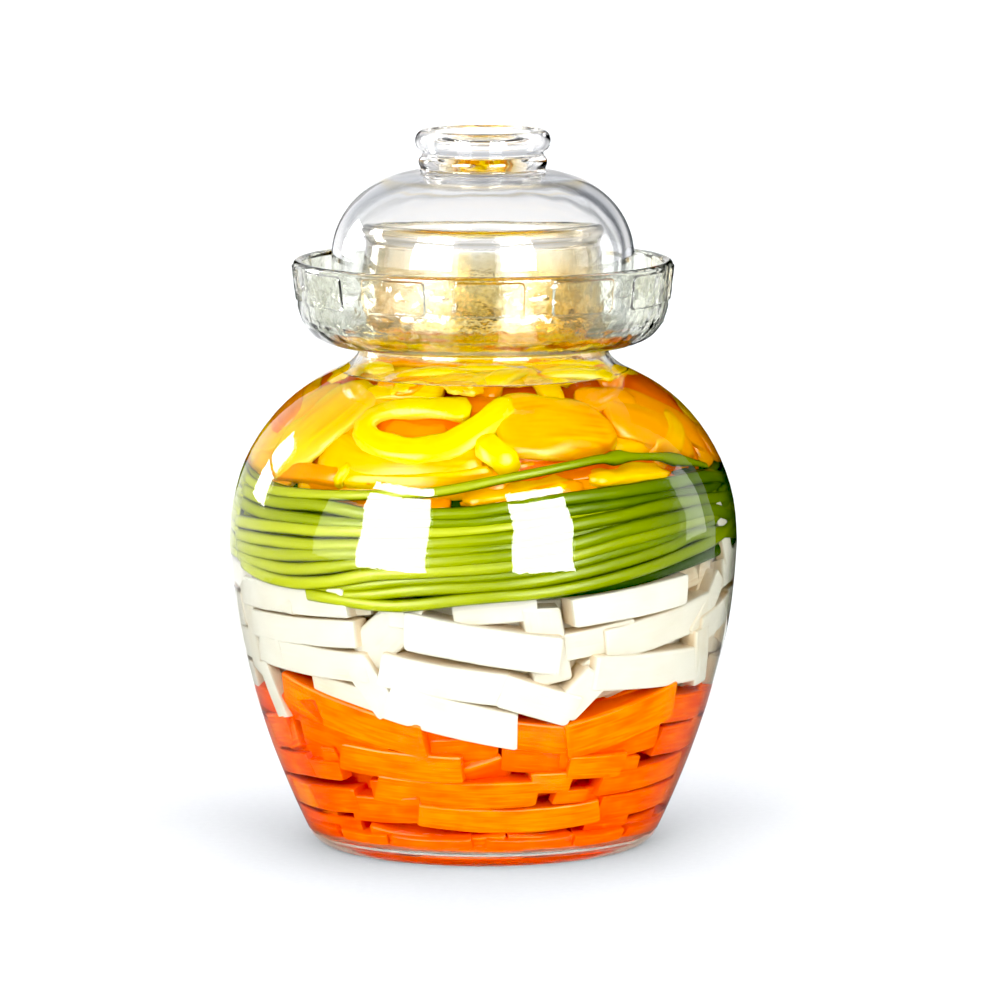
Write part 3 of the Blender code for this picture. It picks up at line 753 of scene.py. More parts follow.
class Look(Nodes):
    """A material in the making."""

    def __init__(self, name):
        self.material = bpy.data.materials.new(name)
        self.material.use_nodes = True
        super().__init__(self.material.node_tree)
        self.shader = self.tree.nodes["Principled BSDF"]

    def set(self, **values):
        for key, value in values.items():
            self.feed(value, self.shader.inputs[key.replace("_", " ")])

    def bump(self, height, strength, distance):
        self.set(Normal=self.node("Bump", {"Strength": strength, "Distance": distance, "Height": height}))

    def place(self):
        return self.node("TexCoord", output="Object")

    def local(self):
        return self.node("Attribute", output="Vector", attribute_name="local")

    def number(self, name):
        return self.node("Attribute", output="Fac", attribute_name=name)

    def facing(self):
        return self.node("LayerWeight", {"Blend": 0.5}, "Facing")

    def painted_side_shade(self, colour, shade_colour, low, high, share):
        """Painted shade: gives the faces that don't lie against the glass another, darker colour, as if in
        the shade between pieces.
        """
        sides = self.ramp(self.axes(self.local())[2], ((low, WHITE), (high, (0, 0, 0))))
        return self.mix(sides * share, colour, shade_colour)

    def wet(self, colour, roughness, height, strength, distance):
        """Finishes food. Under brine a wet cut face hardly mirrors."""
        self.set(Base_Color=colour, Roughness=roughness, Specular_IOR_Level=0.08)
        self.bump(height, strength, distance)
        return self.material


def clear_look(name, ior, lamp_tint, mirror=0.4):
    """Glass or brine, through which lamps shine straight. mirror is how strongly it mirrors head on."""
    look = Look(name)
    look.set(Roughness=0, IOR=ior, Transmission_Weight=1, Specular_Tint=(mirror, mirror, mirror))
    clear = look.node("BsdfTransparent", {"Color": lamp_tint})
    for_lamps = look.node("LightPath", output="Is Shadow Ray")
    mixed = look.node("MixShader", {0: for_lamps, 1: Value(look, look.shader.outputs[0]), 2: clear})
    look.feed(mixed, look.tree.nodes["Material Output"].inputs["Surface"])
    return look


def edge_shade(look, dark_side, stops):
    """Darker glass where it is seen edge on, more so on the right, where no lamp stands."""
    side = look.axes(look.place())[0] * (7 * dark_side) + (1 - dark_side * 0.5)
    return look.mix(side.limited(), WHITE, look.ramp(look.facing(), stops))


def jar_glass_look(name, mirror):
    """Clear glass, greyish in the pressed moat. Painted light and shade: an orange glow where the neck
    guides the peppers' light up, darker glass where it is seen edge on and at the panels' edges, and a dark
    red-brown band at the heel.
    """
    look = clear_look(name, 1.5, (0.96, 0.975, 0.965), mirror)
    place, facing = look.place(), look.facing()
    x, y, z = look.axes(place)
    radius = look.maths("SQRT", x * x + y * y)
    cloud = look.noise(55, look.stretched(place, (1, 1, 0.6)))
    frost = look.noise(700, place)
    # Painted glow: an orange tint in the neck by height, for the peppers' light that the neck's wall carries
    # up.
    warm = look.ramp(((z + (cloud - 0.5) * 0.016 - 0.2) * 16).limited(), (
        (0.03, (1, 1, 0.995)), (0.1, (1, 0.74, 0.18)), (0.31, (1, 0.78, 0.36)),
        (0.5, (0.99, 0.87, 0.64)), (0.6, (0.98, 0.93, 0.84)), (0.68, (0.98, 0.97, 0.95))))
    # Darker and browner towards the neck's sides, where its wall is seen edge on: partly the glass's longer
    # path through it, partly painted shade.
    thick = look.ramp(facing, (
        (0.02, WHITE), (0.2, (0.95, 0.91, 0.82)), (0.42, (0.72, 0.65, 0.5)), (0.75, (0.58, 0.54, 0.44))))
    grey = look.ramp(cloud * 0.6 + frost * 0.4, (
        (0.36, (0.54, 0.55, 0.46)), (0.47, (0.8, 0.82, 0.74)), (0.58, (0.97, 0.98, 0.94))))
    # Painted shade: the moat darker and greyer towards its sides, where it is seen edge on.
    slant = look.ramp(facing, ((0.2, WHITE), (0.48, (0.9, 0.89, 0.84)), (0.75, (0.82, 0.81, 0.74))))
    foot = look.ramp((z * 60).limited(), (
        (0.05, (0.97, 0.96, 0.93)), (0.18, (0.98, 0.9, 0.8)), (0.42, (0.99, 0.97, 0.93)),
        (0.6, (0.995, 1, 0.995))))
    in_moat = look.maths("GREATER_THAN", radius, NECK_REACH) * look.maths("GREATER_THAN", z, MOAT_FROM)
    in_neck = look.maths("LESS_THAN", radius, NECK_REACH) * look.maths("GREATER_THAN", z, NECK_FROM)
    colour = look.mix(in_neck, foot, look.mix(1, warm, thick, "MULTIPLY"))
    colour = look.mix(in_moat, colour, look.mix(1, grey, slant, "MULTIPLY"))
    # Painted shade: the panels' and bars' edges are darkened.
    colour = look.mix(look.number("mark") * 0.85, colour, (0.34, 0.31, 0.26))
    # Painted shade and reflection: a dark red-brown band where the heel is seen edge on, standing for shade
    # and the carrots' colour seen in the glass.
    heel = look.ramp(facing, (
        (0.3, WHITE), (0.58, (0.8, 0.52, 0.38)), (0.8, (0.42, 0.2, 0.11)),
        (0.9, (0.55, 0.34, 0.24)), (0.96, (0.95, 0.92, 0.88))))
    colour = look.mix(((0.0125 - z) * 220).limited(), colour, heel, "MULTIPLY")
    # Painted shade where the glass is seen edge on: weaker in the moat, and none at the foot, from which it
    # fades in.
    edges = edge_shade(look, 0.9, (
        (0.45, WHITE), (0.72, (0.84, 0.85, 0.82)), (0.84, (0.3, 0.31, 0.27)),
        (0.92, (0.26, 0.27, 0.24)), (0.98, (0.85, 0.88, 0.86))))
    plain = (1 - in_moat * 0.65).limited()
    edges = look.mix(plain * ((z - 0.006) * 60).limited(), WHITE, edges)
    look.set(Base_Color=look.mix(1, colour, edges, "MULTIPLY"))
    pressed = (in_moat + in_neck * 0.6) * (look.noise(240, place, 1) + frost * 0.7)
    look.bump(look.noise(70, place, 1) + look.noise(420, place) * 0.12 + pressed * 0.7, 0.1, 0.0012)
    return look.material


def lid_glass_look():
    look = clear_look("lid_glass", 1.5, (0.97, 0.98, 0.975))
    edges = edge_shade(look, 0.8, (
        (0.44, WHITE), (0.56, (0.9, 0.91, 0.93)), (0.62, (0.1, 0.11, 0.13)), (0.66, (0.08, 0.09, 0.1)),
        (0.71, (0.92, 0.93, 0.94)), (0.79, (0.92, 0.93, 0.94)), (0.82, (0.03, 0.04, 0.05)),
        (0.9, (0.03, 0.04, 0.05)), (0.925, (0.92, 0.93, 0.93))))
    place = look.place()
    # Painted reflection: thin orange bands near the height of the lid's ceiling and at the top of the knob's
    # bead, for the orange pieces below seen in the glass.
    painted_orange_reflection = look.ramp(((look.axes(place)[2] - 0.27) * 30).limited(), (
        (0.1, WHITE), (0.14, (0.98, 0.84, 0.55)), (0.17, WHITE),
        (0.72, WHITE), (0.745, (0.98, 0.88, 0.68)), (0.77, WHITE)))
    look.set(Base_Color=look.mix(1, edges, painted_orange_reflection, "MULTIPLY"))
    look.bump(look.noise(60, place, 1), 0.08, 0.0012)
    return look.material


def brine_look(name, mirror):
    look = clear_look(name, 1.333, (0.985, 0.98, 0.96), mirror)
    tints = (0.3, (0.995, 0.985, 0.945)), (0.7, (1, 0.99, 0.96))
    look.set(Base_Color=look.ramp(look.noise(25, look.place()), tints))
    return look.material


def carrot_look(name="carrot", core=False):
    look = Look(name)
    place = look.place()
    streaks = look.noise(1, look.stretched(look.local(), (60, 9, 9)), 3, 0.6)
    blotches = look.noise(85, place)
    shade = streaks * 1.4 + blotches * 0.5 - 0.62 + look.number("tone") * 0.5
    colour = look.ramp(shade.limited(), (
        (0.15, (0.84, 0.06, 0.001)), (0.42, (0.95, 0.108, 0.001)),
        (0.65, (1, 0.165, 0.001)), (0.95, (1, 0.28, 0.003))))
    # Painted shade: the core, seen only in the gaps, is mixed to a deeper red, and the pieces' sides get a
    # darker red.
    if core:
        colour = look.mix(0.6, colour, (0.9, 0.11, 0.001))
    colour = look.painted_side_shade(colour, (0.8, 0.06, 0.001), 0.55, 0.93, 0.55)
    specks = look.noise(900, look.stretched(place, (1, 1, 0.5)), 1)
    specks = look.ramp(specks, ((0.66, (0, 0, 0)), (0.74, WHITE)))
    colour = look.mix(specks * 0.25, colour, (1, 0.42, 0.05))
    return look.wet(colour, 0.38, streaks + blotches, 0.35, 0.0006)


def radish_look(name="radish", core=False):
    look = Look(name)
    fibres = look.noise(1, look.stretched(look.local(), (70, 7, 7)), 3, 0.6)
    clouds = look.noise(60, look.place())
    shade = (fibres * 0.5 + clouds) * 0.6 - 0.2 + look.number("tone") * 0.55
    colour = look.ramp(shade.limited(), (
        (0.08, (0.66, 0.49, 0.3)), (0.3, (0.76, 0.66, 0.49)),
        (0.55, (0.83, 0.785, 0.68)), (0.9, (0.89, 0.86, 0.79))))
    # Painted shade: the pieces' sides get a tan colour, and the core, seen only in the gaps, is mixed
    # further to tan, as the shade between the sticks.
    colour = look.painted_side_shade(colour, (0.74, 0.55, 0.33), 0.45, 0.93, 0.7)
    if core:
        colour = look.mix(0.7, colour, (0.88, 0.68, 0.46))
    return look.wet(colour, 0.35, fibres + clouds, 0.25, 0.0005)


def scape_look(name="garlic_scape", core=False):
    """Green skin, with painted light and shade: lighter towards the jar's left, where the key lamp stands,
    and darker towards its right.
    """
    look = Look(name)
    place = look.place()
    lines = look.noise(1, look.stretched(look.local(), (9, 6, 6)), 3, 0.6)
    shade = look.number("tone") + (lines * 0.35 + look.noise(30, place, 1) * 0.25 - 0.3)
    # Painted light and shade: the colour is shifted lighter on the jar's left and darker on its right.
    colour = look.ramp((shade + look.axes(place)[0] * -3.2).limited(), (
        (0.02, (0.03, 0.068, 0.001)), (0.26, (0.105, 0.17, 0.001)),
        (0.55, (0.225, 0.29, 0.001)), (0.92, (0.5, 0.55, 0.026))))
    # Painted shade: the stems' sides get a dark green, and the core, seen only in the gaps, is mixed to a
    # dark green.
    colour = look.painted_side_shade(colour, (0.022, 0.05, 0.001), 0.2, 0.82, 0.9)
    if core:
        colour = look.mix(0.8, colour, (0.05, 0.12, 0.005))
    return look.wet(colour, 0.3, lines, 0.2, 0.0004)


def pepper_look(name, skin, flesh):
    """Skin in the middle, paler flesh at the cut sides. skin has a colour for each place on its ramp."""
    look = Look(name)
    local = look.local()
    clouds = look.noise(48, look.place())
    fine = look.noise(1, look.stretched(local, (45, 3, 3)))
    streaks = look.noise(1, look.stretched(local, (30, 5, 2)), 3, 0.65, 0.6)
    shade = ((clouds - 0.2) + fine * 0.3 + (streaks - 0.5) * 1.5) * 0.5 + look.number("tone") * 0.55
    across = look.axes(local)[1]
    rim = look.maths("POWER", across * across, 5) * 0.55
    return look.wet(look.mix(rim, look.ramp(shade.limited(), skin), flesh), 0.25, clouds, 0.25, 0.0015)


YELLOW = (
    (0.12, (0.95, 0.25, 0.001)), (0.36, (1.0, 0.44, 0.001)),
    (0.62, (1.0, 0.64, 0.001)), (0.92, (1.0, 0.84, 0.002)))
ORANGE = (
    (0.12, (0.86, 0.17, 0.001)), (0.42, (0.98, 0.29, 0.001)),
    (0.72, (1.0, 0.39, 0.001)), (0.95, (1.0, 0.48, 0.001)))
# Deeper orange for the pepper core, which shows only in the gaps: painted shade.
DEEP = (
    (0.12, (0.9, 0.16, 0.001)), (0.42, (1.0, 0.26, 0.001)),
    (0.72, (1.0, 0.34, 0.001)), (0.95, (1.0, 0.4, 0.001)))


# Where the pieces lie: azimuth, height, tilt, length, width, inset and tone, in degrees and mm

CARROTS = (
    (-38, 62, -14, 66, 15, 0, 0.75), (-42, 52, -8, 42, 11, 4, 0.35), (-24, 44, -3, 50, 12, 1, 0.7),
    (-47, 45, 4, 9, 8, 3, 0.45), (-8, 32, -1, 62, 12, 1, 0.65), (-31, 24, 3, 31, 12, 2, 0.3),
    (9, 21, 0, 70, 10.5, 0, 0.8), (-41, 11, 2, 9, 10, 3, 0.15), (-16, 9, -3, 52, 11, 0, 0.55),
    (-70, 51, 7, 22, 14, 1, 0.3), (-54, 46, 4, 30, 12, 5, 0.25), (-62, 38, 0, 52, 8, 0, 0.3),
    (-61, 25, 1, 50, 12, 1, 0.2), (-62, 13, 0, 44, 12, 1, 0.15), (40, 60, 14, 52, 16, 0, 0.78),
    (38, 50, 6, 46, 11, 3, 0.5), (14, 57, -9, 27, 12, 2, 0.65), (15, 47, -6, 27, 11, 4, 0.25),
    (33, 42.5, -2, 25, 10.5, 0, 0.7), (45, 42, -3, 10, 7, 2, 0.6), (20, 37, -1, 16, 9, 2, 0.85),
    (27, 30.5, -1, 14, 6, 3, 0.6), (22, 10, -2, 32, 8, 1, 0.45), (41, 9, -3, 12, 10, 2, 0.15),
    (54, 35, 3, 50, 10, 0, 0.35), (57, 24, 2, 48, 11, 1, 0.25), (56, 13, 5, 36, 11, 1, 0.2),
    (65, 62, -3, 30, 12, 1, 0.1), (66, 49, -1, 32, 13, 2, 0.05), (-27, 33, 2, 20, 9, 4, 0.2),
    (3, 9, 1, 26, 11, 3, 0.35), (-5, 52, 4, 26, 10, 5, 0.35), (-20, 57, -8, 30, 12, 6, 0.25),
    (40, 29, 0, 24, 10, 4, 0.15), (44, 20, 0, 22, 11, 4, 0.2),
)
# Azimuth, height, length, width, roll and tone
CARROT_CHUNKS = ((-1.5, 44.5, 18, 15, 55, 0.8), (-63, 50, 12, 14, 20, 0.35))
CARROT_LENGTHS = (0.034, 0.058)
CARROT_WIDTH = 0.0125
# Short sticks on the jar's floor: height, width, depth and inset of each row
BOTTOM_ROWS = ((0.0092, 0.006, 0.012, 0.0), (0.0082, 0.0026, 0.016, 0.003))
BOTTOM_RADIUS = 0.062

RADISHES = (
    (-53, 109.5, 2, 66, 12.5, 0, 0.8), (-50, 97, 2, 62, 11.5, 0, 0.75), (-48, 85, -2, 60, 13.5, 0, 0.7),
    (-66, 69, -72, 24, 9, 1, 0.6), (-25, 98, 42, 26, 17, 5, 0.62), (-28, 76, -58, 24, 12, 1, 0.7),
    (0, 95.5, -10, 60, 16.5, 0, 1), (-10, 80.5, -9, 49, 14.5, 1, 1), (-8, 65, -14, 51, 16, 0, 1),
    (-19, 107, -4, 14, 10, 4, 0.8), (3, 110, 5, 32, 11, 6, 0.6), (38, 110.5, 5, 55, 13, 0, 0.92),
    (50, 98, 9, 60, 14, 3, 0.7), (47, 81, -2, 60, 15, 0, 0.85), (14, 72, -19, 31, 14, 0, 0.95),
    (25, 74, 48, 22, 13, 1, 0.85), (16, 95, -78, 32, 16, 5, 0.7), (74, 132, -62, 26, 10, 1, 0.75),
    (66, 83, -70, 26, 11, 0, 0.6), (67, 103, 50, 30, 10, 3, 0.55), (72, 97, 12, 30, 12, 0, 0.6),
    (30, 96, 8, 30, 12, 5, 0.65), (-36, 110, 6, 26, 10, 6, 0.35), (-72, 92, 80, 34, 10, 2, 0.55),
    (-74, 108, 60, 26, 11, 3, 0.5), (33, 88, 40, 22, 12, 6, 0.6), (-38, 72, -10, 30, 12, 5, 0.55),
)

# Each scape: tone, thickness, inset at the left and at the right, then its course across the front
SCAPES = (
    (0.5, 5.4, 0, 0.5, ((-78, 148.1), (-58, 147.6), (-43, 149), (-33, 148.2), (-28, 147.4), (-11, 148.7),
        (-2, 149.6), (6, 151.6), (22, 154.4), (52, 156), (74, 154.3))),
    (0.44, 5.4, 0.5, 3, ((-78, 143.3), (-62, 142.2), (-48, 142.9), (-38, 143), (-27, 143.6), (-11, 145.4),
        (-2, 146.2), (6, 147.8), (20, 149.8), (35, 151.3), (51, 152.4), (71, 150.7))),
    (0.88, 5.2, 0, 4, ((-79, 135.4), (-54, 138.3), (-42, 139.1), (-28, 140.7), (-12, 141.4), (-2, 142.6),
        (10, 144.6), (26, 146.6), (45, 149.4), (70, 148.8))),
    (0.62, 5.6, 0.5, 1, ((-78, 130), (-56, 132.2), (-42, 133.2), (-30, 134.9), (-12, 137.2), (-2, 138.6),
        (6, 139.8), (21, 143.6), (34, 146), (50, 148.1), (69, 146.2))),
    (0.55, 5.4, 0, 3, ((-77, 126.2), (-58, 126.8), (-45, 128.8), (-33, 130.9), (-13, 133.3), (-2, 134.8),
        (6, 136), (21, 139.6), (34, 143), (53, 145.3), (69, 144.9))),
    (0.6, 5.6, 0.5, 0, ((-76, 122.5), (-61, 122), (-50, 122.2), (-39, 124.7), (-28, 127.9), (-13, 129.4),
        (-2, 131.4), (7, 132.8), (21, 136.2), (34, 140.3), (53, 142.6), (68, 142))),
    (0.74, 5.6, 0, 1, ((-73, 120), (-61, 117.4), (-48, 117), (-37, 119.4), (-26, 123.6), (-12, 125.8),
        (-2, 127.2), (7, 128.6), (21, 131.6), (34, 135.7), (49, 138.4), (64, 140))),
    (0.56, 5.4, 2, 2, ((-45, 114.5), (-37, 115.6), (-26, 119.4), (-18, 121.4), (-8, 122.9), (-2, 123.5),
        (9, 125.2), (21, 127.9), (34, 131.9), (52, 135.4), (64, 136.6))),
    (0.66, 5.2, 1, 0.5, ((-44, 112.8), (-36, 113.4), (-26, 115.3), (-18, 117.6), (-8, 119.2), (-2, 119.8),
        (9, 121.3), (21, 124), (34, 127.6), (49, 131.6), (62, 134.2))),
    (0.72, 5.2, 0, 0, ((-44, 113), (-36, 112.4), (-28, 111.4), (-20, 111.4), (-12, 113), (-5, 114.8),
        (4, 116.2), (13, 117.2), (25, 119.8), (38, 123.4), (60, 129.3))),
)
LOOSE_SCAPE = (
    (-80, 152.9, 2.2), (-69, 151.6, 2.3), (-56, 151.8, 2.3), (-39, 153.4, 2.3), (-27, 155, 2.2),
    (-12, 157.1, 2.2), (4, 162, 2.1), (16, 165, 2), (30, 167.8, 1.9), (34, 167.9, 2.2),
    (36, 168.1, 3.1), (39, 168.3, 3.1), (42, 167.6, 1.9), (48, 166.8, 1.7), (53, 165.8, 2.2),
    (57, 164.6, 3.2), (61, 163.2, 2.8), (66, 161, 1.6), (72, 158.5, 1.3),
)

# Each pepper piece: kind, tone, width and inset, then its course along the wall
PEPPERS = (
    ("yellow", 0.95, 12, 0, ((-4, 187), (-12, 188), (-22, 187.6), (-31, 186.6), (-37, 183.4), (-37, 178.2),
        (-30, 174.2), (-20, 172.6), (-10, 174.8), (-3, 179.4), (4, 185.6), (11, 190))),
    ("yellow", 0.65, 31, 0.5, ((-68, 164), (-60, 171), (-55, 179), (-52, 187), (-50, 193))),
    ("yellow", 0.8, 12, 1.5, ((-50, 190), (-40, 192), (-28, 193), (-16, 193))),
    ("orange", 0.8, 8, 2.5, ((-59, 183), (-54, 187), (-50, 190))),
    ("yellow", 0.45, 20, 3, ((-48, 169), (-32, 166.5), (-18, 166.5), (0, 168))),
    ("yellow", 0.55, 11, 2, ((-38, 160.5), (-24, 160), (-8, 161), (4, 164))),
    ("orange", 0.6, 10, 2, ((-66, 160), (-52, 161), (-38, 161))),
    ("yellow", 0.85, 6, 0, ((-39, 157), (-38, 161), (-37, 166))),
    ("orange", 0.25, 12, 4.5, ((-14, 189), (0, 190), (12, 189.5))),
    ("yellow", 0.9, 13, 0, ((-1, 177.5), (3, 173), (9, 166))),
    ("yellow", 0.3, 30, 0.5, ((4, 180.5), (15, 181.5), (27, 180.5), (41, 178))),
    ("orange", 0.75, 13, 1.6, ((36, 188.5), (48, 189), (62, 188))),
    ("orange", 0.8, 23, 1, ((42, 183), (53, 179), (63, 172.5), (70, 166))),
    ("orange", 0.6, 20, 2.2, ((58, 186), (68, 181), (77, 173), (84, 166))),
    ("yellow", 0.35, 12, 0.6, ((52, 166.5), (60, 169), (68, 174), (73, 180))),
    ("yellow", 0.55, 9, 0.5, ((28, 161.5), (41, 162.6), (54, 161.5))),
    ("orange", 0.2, 8, 3, ((17, 164.5), (26, 164.8), (34, 164))),
    ("yellow", 0.5, 11, 1.5, ((-5, 157.5), (8, 158.4), (22, 161))),
    ("orange", 0.6, 10, 2.5, ((2, 153.5), (14, 156), (26, 159))),
    ("yellow", 0.4, 16, 4, ((28, 169), (42, 170), (56, 170))),
    ("orange", 0.45, 14, 5, ((-32, 182), (-20, 180), (-10, 181))),
    ("yellow", 0.3, 16, 3, ((-84, 160), (-70, 161), (-58, 163))),
    ("yellow", 0.45, 24, 1.8, ((-88, 167), (-77, 173), (-69, 181), (-64, 190))),
    ("yellow", 0.4, 14, 3, ((-46, 186), (-38, 187), (-30, 187))),
    ("orange", 0.5, 14, 3, ((-50, 154.5), (-30, 155), (-8, 154.5))),
)

# Rings of pepper pieces: first and last azimuth, share of yellow ones, tones and inset
SHEET_RINGS = ((84, 276, 0.68, (0.2, 0.9), 0.0), (0, 360, 0.75, (0.1, 0.6), 5.0))
# Rows in each ring: height, and degrees from one piece to the next
SHEET_ROWS = ((161, 27), (169, 30), (178, 34), (186.5, 40))


def lay_sticks(pile, sticks, swell):
    for azimuth, height, tilt, length, width, inset, tone in sticks:
        lay_stick(pile, azimuth, height * MM, tilt, length * MM, width * swell * MM, inset * MM, tone=tone)


def make_carrots():
    pile = Pile(SEED + 1)
    draw = pile.draw
    lay_sticks(pile, CARROTS, 1.08)
    for azimuth, height, length, width, turn, tone in CARROT_CHUNKS:
        lay_stick(pile, azimuth, height * MM, 20, length * MM, width * MM, tone=tone, turn=turn)
    fill_ring(pile, 78, 282, FILL_FLOOR, CARROT_TOP, 5, CARROT_LENGTHS, CARROT_WIDTH, 0.0)
    # The ring behind gets lower, darker tones: painted shade between the front pieces.
    fill_ring(pile, 0, 360, FILL_FLOOR, CARROT_TOP, 5, CARROT_LENGTHS, CARROT_WIDTH, 0.011, tones=(0.0, 0.5))
    for height, width, depth, inset in BOTTOM_ROWS:
        azimuth = 0.0
        while azimuth < 355:
            length = draw.uniform(0.02, 0.034)
            turn = math.degrees((length + 0.0004) / BOTTOM_RADIUS)
            lay_stick(pile, azimuth + turn / 2, height, 0, length, width, inset, depth=depth, bend=0.8,
                      tone=draw.uniform(0.1, 0.5))
            azimuth += turn
    return pile.build("carrot_pieces", carrot_look(), SHARP_ANGLE)


def make_radishes():
    pile = Pile(SEED + 2)
    lay_sticks(pile, RADISHES, 1.04)
    fill_ring(pile, 82, 278, CARROT_TOP, RADISH_TOP, 4, (0.038, 0.066), 0.0132, 0.0, tones=(0.5, 1.0))
    # The ring behind gets lower, darker tones: painted shade between the front pieces.
    fill_ring(pile, 0, 360, CARROT_TOP, RADISH_TOP, 4, (0.038, 0.06), 0.013, 0.012, tones=(0.0, 0.35))
    return pile.build("radish_pieces", radish_look(), SHARP_ANGLE)


def smooth_course(points, step):
    """A smooth course through (azimuth, height, value ...) rows, resampled at steps of azimuth."""
    rows = np.array(points, float)
    rows = np.vstack([2 * rows[0] - rows[1], rows, 2 * rows[-1] - rows[-2]])
    made = []
    for a, b, c, d in zip(rows, rows[1:], rows[2:], rows[3:]):
        count = max(2, int(np.linalg.norm((c - b)[:2] * (1.0, 0.55)) / step))
        for t in np.arange(count) / count:
            made.append(0.5 * (2 * b + (c - a) * t + (2 * a - 5 * b + 4 * c - d) * t * t
                               + (3 * b - a - 3 * c + d) * t ** 3))
    return np.array(made + [rows[-2]])


def lay_scape(pile, course, tone, thickness):
    """course has (azimuth, height in mm, inset in mm, thickness share)."""
    path, outs, radii = [], [], []
    for azimuth, height, inset, share in smooth_course(course, 3.0):
        radii.append(thickness * share / 2)
        path.append(wall_point(azimuth, height * MM, inset * MM + radii[-1]))
        outs.append(wall_frame(azimuth, height * MM)[2])
    pile.sweep(path, outs, np.array(radii), np.array(radii), tone=tone, wobble=0.03)


def scape_span(azimuth):
    """Levels in mm between which scapes lie."""
    return level(RADISH_TOP, azimuth) / MM, level(SCAPE_TOP, azimuth) / MM


def make_scapes():
    pile = Pile(SEED + 3)
    draw = pile.draw
    count = len(SCAPES)
    for index, (tone, thickness, left, right, front) in enumerate(SCAPES):
        course = []
        for azimuth, height in front:
            share = smooth_step((azimuth + 40) / 80)
            course.append((azimuth, height, left + (right - left) * share, 1.0))
        order = (index * 7 + 3) % count
        for azimuth in range(100, 276, 25):
            low, high = scape_span(azimuth)
            place = high - 3 - (high - low - 5) * (order + 0.5) / count + draw.uniform(-1.2, 1.2)
            course.append((azimuth + draw.uniform(-4, 4), place, draw.uniform(0, 2.0), 1.0))
        course.append((284, course[-1][1] + draw.uniform(-2, 2), 1.0, 0.8))
        lay_scape(pile, course, tone, thickness * MM)
    # Stems behind get lower, darker tones: painted shade between the front stems.
    for index in range(INNER_SCAPES):
        course = []
        for azimuth in range(-90, 271, 30):
            low, high = scape_span(azimuth)
            place = low + 2.5 + (high - low - 6) * (index + 0.5) / INNER_SCAPES + draw.uniform(-1.5, 1.5)
            course.append((azimuth, place, 4.6 + draw.uniform(0, 1.5), 1.0))
        lay_scape(pile, course, draw.uniform(0.15, 0.5), 0.0056)
    loose = [(azimuth, height, 0.1, thick / 2.5) for azimuth, height, thick in LOOSE_SCAPE]
    lay_scape(pile, loose, 0.72, 0.0048)
    return pile.build("scape_pieces", scape_look())


def stem_groove(azimuth, height):
    """How far a pepper piece is pressed in, where the loose scape lies between it and the glass."""
    places, heights, radii = zip(*LOOSE_SCAPE)
    if not places[0] - 4 < azimuth < places[-1] + 4:
        return 0.0
    radius = np.interp(azimuth, places, radii) * MM
    apart = abs(height - np.interp(azimuth, places, heights) * MM) - radius
    return (2 * radius + 0.0003) * smooth_step(1 - apart / 0.0035)


def lay_sheet(pile, course, width, inset, tone):
    """A piece of pepper wall pressed against the glass, along a course of (azimuth, height in mm)."""
    rows = smooth_course(course, 2.2)
    aside = np.gradient(np.radians(rows[:, 0])) * inner_radius(rows[:, 1] * MM)
    rise = np.gradient(rows[:, 1]) * MM
    step = np.hypot(aside, rise)
    run = np.concatenate([[0], np.cumsum((step[1:] + step[:-1]) / 2)])
    u, v = ring_shape(SHEET_SIDES, 4)
    waves = [pile.draw.uniform(-1, 1) for _ in range(8)]
    reach = min(width * (0.3 + 0.08 * waves[7]), run[-1] * 0.35)
    widths = width * narrowed(run, reach, 0.5) / 2
    widths *= 1 + 0.12 * np.sin(run * 120 * (1 + 0.5 * waves[5]) + 3 * waves[6])
    lift = near_ends(run, reach) ** 2 * SHEET_CROWN
    rings = []
    for i, (azimuth, height) in enumerate(rows):
        slope = math.cos(wall_slope(height * MM))
        for k in range(SHEET_SIDES):
            edge = 1 + 0.07 * math.sin(run[i] * 260 * (1 + 0.4 * waves[0]) + 3 * waves[1] + k)
            offset = u[k] * widths[i] * edge
            z = height * MM + aside[i] / step[i] * offset * slope
            turn = azimuth - math.degrees(rise[i] / step[i] * offset / max(0.03, inner_radius(z)))
            z = min(z, SHEET_CEILING)
            fold = 0.0008 * waves[2] * math.sin(run[i] * 170 + waves[3] * 3)
            fold += 0.0007 * waves[4] * math.sin(offset * 420 + waves[5] * 3 + run[i] * 90 * waves[6])
            deep = inset * MM + SHEET_CROWN * u[k] ** 2 + abs(fold) + (1 - v[k]) / 2 * SHEET_DEPTH
            rings.append(wall_point(turn, z, deep + lift[i] + stem_groove(turn, z)))
    pile.add_tube(np.reshape(rings, (len(rows), SHEET_SIDES, 3)), run, u, v, tone)


def lay_back_sheets(piles, draw):
    """Pepper pieces behind and inside the ones that are placed one by one, in two rings."""
    for first, last, yellows, tones, inset in SHEET_RINGS:
        for row, (height, gap) in enumerate(SHEET_ROWS):
            azimuth = first + draw.uniform(0, gap)
            while azimuth < last:
                pile = piles[draw.random() >= yellows]
                half = gap * draw.uniform(0.75, 1.25) / 2
                rise, bow, width = draw.uniform(-5, 5), draw.uniform(-3, 3), draw.uniform(12, 22)
                low = level(SCAPE_TOP, azimuth) / MM + width / 4
                top = level(PEPPER_TOP, azimuth) / MM - 3.5
                course = []
                for share in (-1, -1 / 3, 1 / 3, 1):
                    place = height + rise * share + (bow if abs(share) < 1 else 0)
                    course.append((azimuth + half * share, min(max(place, low), top)))
                tone = draw.uniform(*tones)
                lay_sheet(pile, course, width * MM, inset + row % 2 * 1.6 + draw.uniform(0, 1.2), tone)
                azimuth += gap * draw.uniform(0.85, 1.15)


